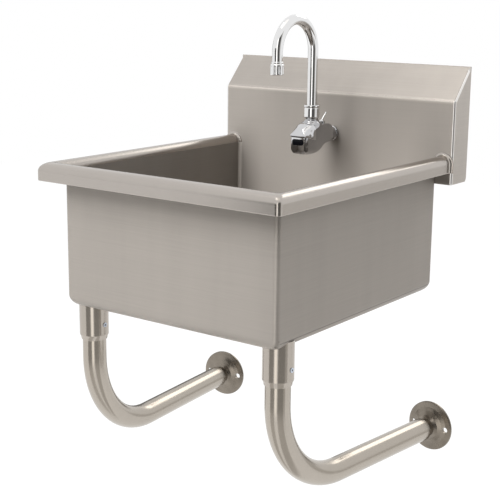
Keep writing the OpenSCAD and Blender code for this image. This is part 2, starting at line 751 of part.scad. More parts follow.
// Pin lever on a small hub, which sets the water's temperature.
module temperature_lever() {
    hub = body_top_z + boss_h - 1.6 + turn_gap;
    color(polished) at_tap() translate([0, lever_back, hub]) {
        rotate_extrude() polygon([
            [0, -4.4], [lever_stem_r, -4.4], [lever_stem_r, 0], [lever_hub_r, 0], [lever_hub_r, 1.6],
            [3.4, 2.8], [1.6, 3.6], [0, 3.8]]);
        translate([0, 0, 1.2]) rotate([-46, 0, 0]) {
            cylinder(r1 = 1.9, r2 = 1.3, h = lever_l);
            translate([0, 0, lever_l]) sphere(r = 1.9);
        }
    }
}

module spout_nut() {
    seat = nut_seat_z;
    r = nut_d / 2;
    color(polished) at_tap() difference() {
        rotate_extrude() polygon([
            [0, seat], [r - 3, seat], [r - 2.4, seat + 3.2], [r - 0.6, seat + 4.2], [r, seat + 5.2],
            [r, nut_top_z - 6], [r - 0.5, nut_top_z - 5.4], [r - 0.5, nut_top_z - 4.6], [r + 0.7, nut_top_z - 3.8],
            [r + 0.7, nut_top_z - 0.8], [r, nut_top_z], [0, nut_top_z]]);
        translate([0, 0, seat - cut]) cylinder(r = spout_r + turn_gap, h = nut_top_z - seat + 2 * cut);
    }
}

// Solid bar along the spout's path: up, over the arch, and down to the aerator.
module spout_bar(r, foot, tip) {
    translate([0, 0, foot]) cylinder(r = r, h = spout_turn_z - foot);
    translate([0, -arch_r, spout_turn_z]) rotate([90, 0, 90]) rotate_extrude(angle = 180)
        translate([arch_r, 0]) circle(r = r);
    translate([0, -tap_reach, tip]) cylinder(r = r, h = spout_turn_z - tip);
}

module gooseneck_spout() {
    tip = aerator_z + aerator_l - 8;
    color(polished) at_tap() difference() {
        spout_bar(spout_r, 42, tip);
        spout_bar(spout_r - spout_wall, 42 - cut, tip - cut);
    }
}

// Aerator housing with shallow flats round its lower part and a collar above.
module aerator_housing() {
    r = aerator_d / 2;
    top = aerator_z + aerator_l;
    flutes = 10;
    color(polished) at_tap() translate([0, -tap_reach, 0]) difference() {
        rotate_extrude() polygon([
            [0, aerator_z], [r - 1, aerator_z], [r, aerator_z + 1], [r, top - 6], [r - 0.8, top - 5],
            [spout_r + 1, top - 3.5], [spout_r + 1.2, top - 1], [spout_r + 0.4, top], [0, top]]);
        translate([0, 0, top - 8]) cylinder(r = spout_r, h = 12);
        translate([0, 0, aerator_z - cut]) cylinder(r = spout_r - 0.5, h = aerator_l);
        for (i = [0 : flutes - 1]) rotate([0, 0, i * 360 / flutes]) translate([r + 1.7, 0, aerator_z + 2])
            cylinder(r = 2.6, h = aerator_l - 9.5, $fn = 16);
    }
}

// Flow straightener, a disc with rings of holes.
module aerator_insert() {
    color(rubber_black) at_tap() translate([0, -tap_reach, aerator_z + 2]) difference() {
        cylinder(r = spout_r - 0.5, h = 6);
        for (row = [[0, 1], [3.4, 6], [6.6, 12]], i = [0 : row[1] - 1])
            rotate([0, 0, i * 360 / row[1]]) translate([row[0], 0, -cut]) cylinder(d = 2, h = 8, $fn = 14);
    }
}

// Puts a shape built along the shank's axis behind the backsplash, from y forward to the tap.
module along_shank(y) { from_rim() translate([0, y - splash_d, shank_z]) rotate([90, 0, 0]) children(); }

module faucet_gasket() {
    color(rubber_black) along_shank(0) difference() {
        cylinder(r = tap_flange_r - 0.8, h = gasket_tap);
        translate([0, 0, -cut]) cylinder(d = shank_d, h = gasket_tap + 2 * cut);
    }
}

// Hollow threaded shank from the tap's neck to the supply behind the backsplash.
module faucet_shank() {
    r = shank_r;
    bore_r = 6;
    top = shank_l + gasket_tap + tap_bore;
    free = shank_l - sheet - washer_t - shank_nut_t - relief_w;
    color(brass) along_shank(shank_l) rotate_extrude() polygon([
        [bore_r, 0], [r, 0], [r, free], [r - relief_d, free], [r - relief_d, free + relief_w],
        [r, free + relief_w], [r, top], [0, top], [0, top - 1], [bore_r, top - 1]]);
}

module shank_washer() {
    color("#9b9a96") along_shank(sheet + washer_t) difference() {
        cylinder(d = 38, h = washer_t);
        translate([0, 0, -cut]) cylinder(d = shank_d, h = washer_t + 2 * cut);
    }
}

module shank_locknut() {
    color(brass) along_shank(sheet + washer_t + shank_nut_t) difference() {
        cylinder(d = 34, h = shank_nut_t, $fn = 6);
        translate([0, 0, -cut]) cylinder(d = shank_d, h = shank_nut_t + 2 * cut);
    }
}

bowl();
rim_front();
rim_left();
rim_right();
backsplash();
splash_end_left();
splash_end_right();
hanger_rail();
wall_bracket();
leg_socket_left();
leg_socket_right();
set_screw_left();
set_screw_right();
support_leg_left();
support_leg_right();
foot_insert_left();
foot_insert_right();
wall_foot_left();
wall_foot_right();
strainer_body();
strainer_gasket();
strainer_locknut();
tailpiece();
slip_nut();
strainer_basket();
basket_knob();
faucet_body();
faucet_hood();
sensor_window();
temperature_lever();
spout_nut();
gooseneck_spout();
aerator_housing();
aerator_insert();
faucet_gasket();
faucet_shank();
shank_washer();
shank_locknut();
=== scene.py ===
"""Looks of a wall-hung hand sink with a sensor tap and two bent tube legs.

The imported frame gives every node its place. The pressed and cast pieces are built again here as
smooth meshes, and every node gets a procedural finish. Sizes are in millimetres, with heights taken
from the crest of the rolled rim, as in the part's source.
"""

from __future__ import annotations

import json
import logging
import math
from collections import Counter
from collections.abc import Callable, Sequence
from dataclasses import dataclass, field
from enum import Enum
from typing import Any

import bmesh
import bpy
from mathutils import Matrix, Vector
from mathutils.geometry import tessellate_polygon

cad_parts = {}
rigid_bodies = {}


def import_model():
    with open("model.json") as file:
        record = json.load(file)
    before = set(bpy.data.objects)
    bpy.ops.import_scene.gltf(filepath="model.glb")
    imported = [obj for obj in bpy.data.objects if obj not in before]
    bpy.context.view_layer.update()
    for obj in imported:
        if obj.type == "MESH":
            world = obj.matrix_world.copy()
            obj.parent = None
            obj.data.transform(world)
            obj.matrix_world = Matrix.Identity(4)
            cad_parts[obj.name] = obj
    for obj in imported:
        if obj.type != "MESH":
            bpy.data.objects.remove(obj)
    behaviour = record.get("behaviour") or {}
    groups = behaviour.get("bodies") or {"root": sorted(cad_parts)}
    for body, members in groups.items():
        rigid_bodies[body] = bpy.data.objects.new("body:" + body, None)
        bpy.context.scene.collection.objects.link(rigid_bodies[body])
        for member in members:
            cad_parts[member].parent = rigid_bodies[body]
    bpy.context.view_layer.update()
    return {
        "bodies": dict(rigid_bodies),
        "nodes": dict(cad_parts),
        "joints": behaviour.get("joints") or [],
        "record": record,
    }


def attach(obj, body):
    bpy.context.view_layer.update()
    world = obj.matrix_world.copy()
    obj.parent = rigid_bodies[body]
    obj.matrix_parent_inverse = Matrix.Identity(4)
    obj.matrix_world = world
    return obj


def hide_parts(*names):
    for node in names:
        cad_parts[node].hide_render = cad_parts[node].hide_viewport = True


log = logging.getLogger("hand_sink")

Point = tuple[float, float, float]
Ring = list[Point]
Colour = tuple[float, float, float]

# How far the rim's crest lies below the origin, and how thick the sheet is.
RIM_DROP = 60.0
SHEET = 1.6
# Steps of a quarter turn, and how close to a bend a point lies that keeps its neighbour flat.
ARC_STEPS = 10
GUARD = 0.8
# Points round a turned form.
LATHE_STEPS = 64
SMALL_LATHE_STEPS = 40
# Points closer than this become one, in metres.
MERGE = 2e-6
WHITE = (1.0, 1.0, 1.0, 1.0)


def turned(radius: float, degrees: float) -> tuple[float, float]:
    """Returns the point on a circle at an angle."""
    return radius * math.cos(math.radians(degrees)), radius * math.sin(math.radians(degrees))


def quarter(steps: int = ARC_STEPS) -> list[float]:
    """Returns the angles of a quarter turn, from 0 to 90 degrees."""
    return [90.0 * i / steps for i in range(steps + 1)]


def around(steps: int) -> list[float]:
    """Returns the angles of a full turn, from 0 up to 360 degrees."""
    return [360.0 * i / steps for i in range(steps)]


def near(radius: float, height: float, steps: Sequence[tuple[float, float]]) -> list[tuple[float, float]]:
    """Returns a profile's points by how far out and up they lie from one point."""
    return [(radius + out, height + up) for out, up in steps]


def put(name: str, data: Any) -> bpy.types.Object:
    """Makes an object of a mesh, camera or lamp and links it to the scene.

    Args:
        name: The object's name.
        data: What it shows.

    Returns:
        The object.
    """
    made = bpy.data.objects.new(name, data)
    bpy.context.scene.collection.objects.link(made)
    return made


def put_mesh(name: str, points: Sequence[Point], faces: Sequence[Sequence[int]],
             finish: bpy.types.Material) -> bpy.types.Object:
    """Makes a mesh object with one finish.

    Args:
        name: The object's name.
        points: Its points, in metres.
        faces: The point numbers of each face.
        finish: Its material.

    Returns:
        The object.
    """
    mesh = bpy.data.meshes.new(name)
    mesh.from_pydata(points, [], faces)
    mesh.materials.append(finish)
    return put(name, mesh)


def paint(piece: bpy.types.Object, finish: bpy.types.Material,
          chosen: Callable[[bpy.types.MeshPolygon], bool]) -> None:
    """Gives some faces of a piece another finish.

    Args:
        piece: The piece.
        finish: Their material.
        chosen: Whether a face is one of them.
    """
    piece.data.materials.append(finish)
    for face in piece.data.polygons:
        if chosen(face):
            face.material_index = len(piece.data.materials) - 1


def rounded_ring(half: float, front: float, back: float, radius: float, height: float) -> Ring:
    """Makes a level ring with round corners, and with points close by each corner to keep the sides flat.

    Args:
        half: Half the ring's width along X.
        front: Its lowest Y.
        back: Its highest Y.
        radius: Radius of its corners.
        height: Its Z.

    Returns:
        The points, counter-clockwise from the front right corner.
    """
    ring: Ring = []
    for x, y, start in ((half - radius, front + radius, -90.0), (half - radius, back - radius, 0.0),
                        (radius - half, back - radius, 90.0), (radius - half, front + radius, 180.0)):
        arc = [turned(radius, start + angle) for angle in quarter()]
        into_x, into_y = turned(GUARD, start - 90.0)
        out_x, out_y = turned(GUARD, start + 180.0)
        ring.append((x + arc[0][0] + into_x, y + arc[0][1] + into_y, height))
        ring.extend((x + dx, y + dy, height) for dx, dy in arc)
        ring.append((x + arc[-1][0] + out_x, y + arc[-1][1] + out_y, height))
    return ring


def front_path(half: float, front: float, radius: float, height: float,
               stops: Sequence[float] = ()) -> Ring:
    """Makes the front part of a path that runs round three sides, from the left side to the right.

    Args:
        half: Half the path's width along X.
        front: Its lowest Y.
        radius: Radius of its two corners.
        height: Its Z.
        stops: Further places along the front, as X.

    Returns:
        The points from the left corner's start to the right corner's end.
    """
    left = [(-half, front + radius + GUARD, height)]
    for angle in quarter():
        dx, dy = turned(radius, 180.0 + angle)
        left.append((radius - half + dx, front + radius + dy, height))
    left.append((radius - half + GUARD, front, height))
    middle = [(x, front, height) for x in stops]
    return left + middle + [(-x, y, z) for x, y, z in reversed(left)]


def easy_rows(rows: Sequence[Sequence[float]], steps: int) -> list[list[float]]:
    """Puts more rows between given ones, along curves that never overshoot.

    Args:
        rows: Rows of numbers, the first number rising or falling steadily.
        steps: How many intervals each given interval becomes.

    Returns:
        The finer rows.
    """
    def slopes(column: list[float]) -> list[float]:
        """Returns the slope at each row, level where a column turns round."""
        rises = [(b - a) / (s - r) for a, b, r, s in zip(column, column[1:], place, place[1:])]
        return [rises[0], *(0.0 if p * q <= 0 else 2 * p * q / (p + q) for p, q in zip(rises, rises[1:])),
                rises[-1]]

    place = [row[0] for row in rows]
    columns = [[row[k] for row in rows] for k in range(len(rows[0]))]
    tangents = [slopes(column) for column in columns]
    finer: list[list[float]] = []
    for i in range(len(rows) - 1):
        gap = place[i + 1] - place[i]
        for step in range(steps):
            t = step / steps
            ease = t * t * (3 - 2 * t)
            leave, arrive = gap * t * (1 - t) ** 2, gap * t * t * (t - 1)
            finer.append([c[i] + ease * (c[i + 1] - c[i]) + leave * m[i] + arrive * m[i + 1]
                          for c, m in zip(columns, tangents)])
    return [*finer, list(rows[-1])]


@dataclass
class Shell:
    """Skin of one piece, gathered in millimetres with heights from the rim's crest."""

    name: str
    points: Ring = field(default_factory=list)
    faces: list[tuple[int, ...]] = field(default_factory=list)

    def row(self, points: Sequence[Point]) -> list[int]:
        """Adds points and returns their numbers."""
        self.points.extend(points)
        return list(range(len(self.points) - len(points), len(self.points)))

    def strip(self, low: Sequence[int], high: Sequence[int], closed: bool = True,
              gap: range = range(0)) -> None:
        """Joins two rows with quads.

        Args:
            low: Point numbers of the first row.
            high: Point numbers of the second row.
            closed: Whether the rows close on themselves.
            gap: Places along the row that stay open.
        """
        count = len(low)
        for i in range(count if closed else count - 1):
            if i not in gap:
                j = (i + 1) % count
                self.faces.append((low[i], low[j], high[j], high[i]))

    def skin(self, rings: Sequence[Ring], closed: bool = True) -> list[list[int]]:
        """Adds rings and joins each with the next.

        Args:
            rings: Rings with the same count of points.
            closed: Whether each ring closes on itself.

        Returns:
            The point numbers of each ring.
        """
        placed = [self.row(ring) for ring in rings]
        for low, high in zip(placed, placed[1:]):
            self.strip(low, high, closed)
        return placed

    def fill(self, outer: Sequence[int], inner: Sequence[int] = ()) -> None:
        """Fills a flat outline, round a hole if there is one.

        Args:
            outer: Point numbers of the outline.
            inner: Point numbers of the hole's edge.
        """
        loops = [list(outer)] + ([list(inner)] if inner else [])
        every = [number for loop in loops for number in loop]
        for corners in tessellate_polygon([[Vector(self.points[n]) for n in loop] for loop in loops]):
            self.faces.append(tuple(every[corner] for corner in corners))

    def lathe(self, profile: Sequence[tuple[float, float]], place: Callable[[Point], Point],
              steps: int = LATHE_STEPS, wave: Callable[[float, float, float], float] | None = None) -> None:
        """Turns a profile round an axis.

        Args:
            profile: Radius and height, from one end to the other.
            place: Moves a point from the axis's own space to the part's.
            steps: Points round the axis.
            wave: Changes the radius by radius, height and angle in degrees.
        """
        self.skin([[place((*turned(wave(radius, height, angle) if wave else radius, angle), height))
                    for angle in around(steps)] for radius, height in profile])

    def bar(self, path: Sequence[tuple[float, float, float]], radii: Sequence[float],
            place: Callable[[Point], Point], steps: int = 48) -> None:
        """Sweeps a round bar along a path in an upright plane.

        Args:
            path: Y, Z and the way ahead in degrees above +Y, at each station.
            radii: Radius at each station.
            place: Moves a point from the plane's own space to the part's.
            steps: Points round the bar.
        """
        rings: list[Ring] = []
        for (y, z, ahead), radius in zip(path, radii):
            across_y, across_z = turned(1.0, ahead + 90.0)
            circle = [turned(radius, angle) for angle in around(steps)]
            rings.append([place((side, y + up * across_y, z + up * across_z)) for side, up in circle])
        self.skin(rings)

    def make(self, body: str, nodes: Sequence[str], finish: bpy.types.Material,
             sharp: float = 32.0, sheet: float = 0.0) -> bpy.types.Object:
        """Turns the skin into a piece of the scene.

        Args:
            body: The body that it moves with.
            nodes: The nodes that it stands for.
            finish: Its material.
            sharp: Edges over this angle stay crisp, in degrees.
            sheet: Thickness given to an open skin, inward.

        Returns:
            The piece.
        """
        points = [(x / 1000, y / 1000, (z - RIM_DROP) / 1000) for x, y, z in self.points]
        piece = put_mesh(self.name, points, self.faces, finish)
        mesh = piece.data
        work = bmesh.new()
        work.from_mesh(mesh)
        bmesh.ops.remove_doubles(work, verts=work.verts, dist=MERGE)
        bmesh.ops.recalc_face_normals(work, faces=work.faces)
        work.to_mesh(mesh)
        work.free()
        mesh.shade_smooth()
        mesh.set_sharp_from_angle(angle=math.radians(sharp))
        shared = Counter(key for polygon in mesh.polygons for key in polygon.edge_keys)
        for edge in mesh.edges:
            if shared[edge.key] == 1:
                edge.use_edge_sharp = True
        if sheet:
            thick = piece.modifiers.new("sheet", "SOLIDIFY")
            thick.thickness = sheet / 1000
            thick.offset = -1.0
        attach(piece, body)
        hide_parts(*nodes)
        log.info("%s: %d faces, stands for %s", self.name, len(mesh.polygons), ", ".join(nodes))
        return piece


class Wire:
    """A socket's value in a material's node graph, with arithmetic that adds Math nodes."""

    def __init__(self, graph: Graph, socket: bpy.types.NodeSocket) -> None:
        """Wraps an output socket.

        Args:
            graph: The graph that the socket is in.
            socket: The output socket.
        """
        self.graph = graph
        self.socket = socket

    def _math(self, operation: str, first: Any, second: Any = 0.0) -> Wire:
        """Adds one Math node and returns its output."""
        return self.graph.add("ShaderNodeMath", {"operation": operation}, {0: first, 1: second})

    def __add__(self, other: Any) -> Wire:
        """Returns self + other."""
        return self._math("ADD", self, other)

    __radd__ = __add__

    def __sub__(self, other: Any) -> Wire:
        """Returns self - other."""
        return self._math("SUBTRACT", self, other)

    def __rsub__(self, other: Any) -> Wire:
        """Returns other - self."""
        return self._math("SUBTRACT", other, self)

    def __mul__(self, other: Any) -> Wire:
        """Returns self * other."""
        return self._math("MULTIPLY", self, other)

    __rmul__ = __mul__

    def __truediv__(self, other: Any) -> Wire:
        """Returns self / other."""
        return self._math("DIVIDE", self, other)

    def __abs__(self) -> Wire:
        """Returns the absolute value."""
        return self._math("ABSOLUTE", self)

    def over(self, limit: float) -> Wire:
        """Returns 1 where the value is above limit, and 0 elsewhere."""
        return self._math("GREATER_THAN", self, limit)

    def larger(self, other: Any) -> Wire:
        """Returns the larger of self and other."""
        return self._math("MAXIMUM", self, other)

    def share(self, whole: float) -> Wire:
        """Returns self / whole, held between 0 and 1."""
        settings = {"operation": "DIVIDE", "use_clamp": True}
        return self.graph.add("ShaderNodeMath", settings, {0: self, 1: whole})

    def along(self, axis: str) -> Wire:
        """Returns a vector's X, Y or Z."""
        return self.graph.add("ShaderNodeSeparateXYZ", None, {0: self}, axis)


class Graph:
    """The node graph of one material or world."""

    def __init__(self, owner: bpy.types.Material | bpy.types.World) -> None:
        """Empties the owner's node tree.

        Args:
            owner: The material or world that the graph is for.
        """
        owner.use_nodes = True
        self.owner = owner
        self.tree = owner.node_tree
        self.tree.nodes.clear()

    def add(self, kind: str, settings: dict[str, Any] | None = None, inputs: dict[Any, Any] | None = None,
            output: int | str = 0) -> Wire:
        """Adds a node of any kind.

        Args:
            kind: The node's type name.
            settings: The node's own properties, which are set first.
            inputs: Socket name or number to a value or a Wire.
            output: Which output to return.

        Returns:
            The chosen output as a Wire.
        """
        node = self.tree.nodes.new(kind)
        for name, value in (settings or {}).items():
            setattr(node, name, value)
        for name, value in (inputs or {}).items():
            if isinstance(value, Wire):
                self.tree.links.new(value.socket, node.inputs[name])
            else:
                node.inputs[name].default_value = value
        return Wire(self, node.outputs[output]) if node.outputs else Wire(self, node.inputs[0])

    def end(self, shader: Wire) -> Any:
        """Links the shader to an output node.

        Args:
            shader: The surface of the material or world.

        Returns:
            The material or world.
        """
        kind = "World" if isinstance(self.owner, bpy.types.World) else "Material"
        self.add(f"ShaderNodeOutput{kind}", None, {"Surface": shader})
        return self.owner

    def principled(self, inputs: dict[str, Any]) -> bpy.types.Material:
        """Ends a material with a Principled shader that has these inputs."""
        return self.end(self.add("ShaderNodeBsdfPrincipled", None, inputs))

    def place(self) -> Wire:
        """Returns the coordinate on the object."""
        return self.add("ShaderNodeTexCoord", output="Object")

    def bump(self, height: Wire, strength: float, distance: float = 0.0006) -> Wire:
        """Returns the normal of a surface with this height."""
        inputs = {"Strength": strength, "Distance": distance, "Height": height}
        return self.add("ShaderNodeBump", None, inputs)

    def shades(self, factor: Wire, colour: Colour, low: float, high: float) -> Wire:
        """Mixes two tints of a colour."""
        return self.blend(factor, tint(colour, low), tint(colour, high))

    def blend(self, factor: Any, low: Any, high: Any) -> Wire:
        """Mixes two colours through a Mix node."""
        return self.add("ShaderNodeMix", {"data_type": "RGBA"}, {0: factor, 6: low, 7: high}, 2)

    def noise(self, where: Wire, stretch: Point, detail: float = 3.0, rough: float = 0.55) -> Wire:
        """Samples noise that is stretched by a scale along each axis.

        Args:
            where: The coordinate.
            stretch: Cells per metre along X, Y and Z.
            detail: Octaves of the noise.
            rough: Weight of the finer octaves.

        Returns:
            The noise value, around 0.5.
        """
        scaled = self.add("ShaderNodeVectorMath", {"operation": "MULTIPLY"}, {0: where, 1: stretch})
        return self.add("ShaderNodeTexNoise", None,
                        {"Vector": scaled, "Scale": 1.0, "Detail": detail, "Roughness": rough})


def tint(colour: Colour, factor: float) -> tuple[float, float, float, float]:
    """Returns a colour made lighter or darker by a factor, with full alpha."""
    return (colour[0] * factor, colour[1] * factor, colour[2] * factor, 1.0)


class Grain(Enum):
    """Which way the brushed lines run, as cells per metre along X, Y and Z."""

    LEVEL = (5.0, 5.0, 900.0)
    ALONG_WALL = (5.0, 900.0, 900.0)
    ALONG_DEPTH = (900.0, 5.0, 900.0)
    ROUND = (70.0, 70.0, 70.0)
    RIM = (0.0, 0.0, 0.0)


@dataclass(frozen=True)
class BrushedSteel:
    """Satin stainless sheet or tube with fine lines and faint handling marks.

    The backsplash's bend, at bend_z, is polished, and its colour gets a painted highlight, within the half
    width polish_and_painted_highlight. Painted light makes the wall behind the bowl lighter by lift, towards
    the bottom, against the shade of the dark bowl in front of it: in full from painted_light_drop below the
    bend down, and from painted_light_edge inside painted_light_half inward, but only behind
    painted_light_front. All but lift itself are in metres.
    """

    colour: Colour = (0.445, 0.409, 0.372)
    grain: Grain = Grain.LEVEL
    roughness: float = 0.5
    depth: float = 0.05
    metallic: float = 0.7
    spread: float = 0.8
    turn: float = 0.25
    mottle: float = 1.0
    bend_z: float = 0.036
    polish_and_painted_highlight: float = 0.0
    lift: float = 0.0
    painted_light_drop: float = 0.2
    painted_light_half: float = 0.2212
    painted_light_edge: float = 0.06
    painted_light_front: float = -0.08

    def material(self, name: str) -> bpy.types.Material:
        """Makes the finish.

        Args:
            name: The material's name.

        Returns:
            The material.
        """
        graph = Graph(bpy.data.materials.new(name))
        place = graph.place()
        lines = self._lines(graph, place)
        marks = graph.noise(place, (9.0, 9.0, 7.0), 5.0, 0.6)
        streaks = graph.noise(place, (2.5, 2.5, 240.0) if self.grain is Grain.LEVEL else (60.0,) * 3, 2.0)
        # Painted reflection: soft upright bands in the colour stand in for the reflections that the brushed
        # lines smear.
        painted_reflection_bands = graph.noise(place, (22.0, 22.0, 1.5), 3.0)
        tone = lines * 0.45 + marks * 0.2 + streaks * 0.1 + painted_reflection_bands * 0.25
        swing = 0.32 * self.mottle
        colour = graph.shades(tone, self.colour, 1 - swing, 1 + swing)
        rough = (lines * 0.16 + marks * 0.12 - 0.14) * self.mottle + self.roughness
        # Painted highlight along the bend: the colour is lightened there, while the lower roughness is real
        # polish.
        if self.polish_and_painted_highlight:
            line = (1.0 - abs(place.along("Z") - self.bend_z) / self.polish_and_painted_highlight).larger(0.0)
            colour = graph.blend(line, colour, tint(self.colour, 1.3))
            rough = rough - line * 0.1
        # Painted light: the wall behind the bowl is lightened towards the bottom, against the shade of the
        # bowl in front of it.
        if self.lift:
            down = (self.bend_z - place.along("Z")).share(self.painted_light_drop)
            inward = (self.painted_light_half - abs(place.along("X"))).share(self.painted_light_edge)
            behind = down * inward * place.along("Y").over(self.painted_light_front)
            colour = graph.blend(behind, colour, tint(self.colour, 1.0 + self.lift))
        return graph.principled({
            "Base Color": colour, "Metallic": self.metallic, "Roughness": rough,
            "Normal": graph.bump(lines, self.depth),
            "Anisotropic": self.spread, "Anisotropic Rotation": self.turn})

    def _lines(self, graph: Graph, place: Wire) -> Wire:
        """Samples the brushed lines, which turn at the rim's mitres and on a level face of the sheet.

        Args:
            graph: The material's graph.
            place: The coordinate.

        Returns:
            The lines' value, around 0.5.
        """
        def run(grain: Grain) -> Wire:
            """Samples lines that run one way."""
            return graph.noise(place, grain.value, 4.0, 0.7)

        if self.grain is Grain.RIM:
            out = (abs(place.along("X")) - Rim.inner_half / 1000) / (Rim.side / 1000)
            ahead = (-Rim.inner_front / 1000 - place.along("Y")) / (Rim.front / 1000)
            on_side = (out - ahead).over(0.0)
            return run(Grain.ALONG_WALL) * (1.0 - on_side) + run(Grain.ALONG_DEPTH) * on_side
        if self.grain is Grain.LEVEL:
            flat = abs(graph.add("ShaderNodeTexCoord", output="Normal").along("Z")).over(0.8)
            return run(Grain.LEVEL) * (1.0 - flat) + run(Grain.ALONG_WALL) * flat
        return run(self.grain)


@dataclass(frozen=True)
class Chrome:
    """Polished plating with a trace of water marks."""

    colour: Colour = (0.80, 0.80, 0.80)
    roughness: float = 0.05
    ripple: float = 0.0

    def material(self, name: str) -> bpy.types.Material:
        """Makes the finish.

        Args:
            name: The material's name.

        Returns:
            The material.
        """
        graph = Graph(bpy.data.materials.new(name))
        place = graph.place()
        marks = graph.noise(place, (60.0,) * 3, 4.0, 0.6)
        waves = graph.noise(place, (110.0,) * 3, 2.0, 0.5)
        return graph.principled({
            "Base Color": graph.shades(marks, self.colour, 0.95, 1.04),
            "Metallic": 1.0, "Roughness": marks * 0.05 + self.roughness,
            "Normal": graph.bump(waves, self.ripple, 0.002)})


@dataclass(frozen=True)
class CastMetal:
    """Dull cast or plated metal with a fine pitted skin."""

    colour: Colour = (0.25, 0.23, 0.21)
    roughness: float = 0.42
    stain: float = 0.2

    def material(self, name: str) -> bpy.types.Material:
        """Makes the finish.

        Args:
            name: The material's name.

        Returns:
            The material.
        """
        graph = Graph(bpy.data.materials.new(name))
        place = graph.place()
        pits = graph.noise(place, (420.0,) * 3, 3.0, 0.6)
        stains = graph.noise(place, (30.0,) * 3, 4.0, 0.6)
        return graph.principled({
            "Base Color": graph.shades(stains, self.colour, 1 - self.stain, 1 + self.stain),
            "Metallic": 1.0, "Roughness": (stains - 0.5) * 0.2 + self.roughness,
            "Normal": graph.bump(pits, 0.12)})


@dataclass(frozen=True)
class Moulded:
    """Rubber or plastic with a faint moulded texture."""

    colour: Colour = (0.015, 0.015, 0.016)
    roughness: float = 0.55
    gloss: float = 0.5

    def material(self, name: str) -> bpy.types.Material:
        """Makes the finish.

        Args:
            name: The material's name.

        Returns:
            The material.
        """
        graph = Graph(bpy.data.materials.new(name))
        grit = graph.noise(graph.place(), (300.0,) * 3, 3.0, 0.6)
        return graph.principled({
            "Base Color": graph.shades(grit, self.colour, 0.7, 1.5),
            "Roughness": (grit - 0.5) * 0.1 + self.roughness, "Specular IOR Level": self.gloss})


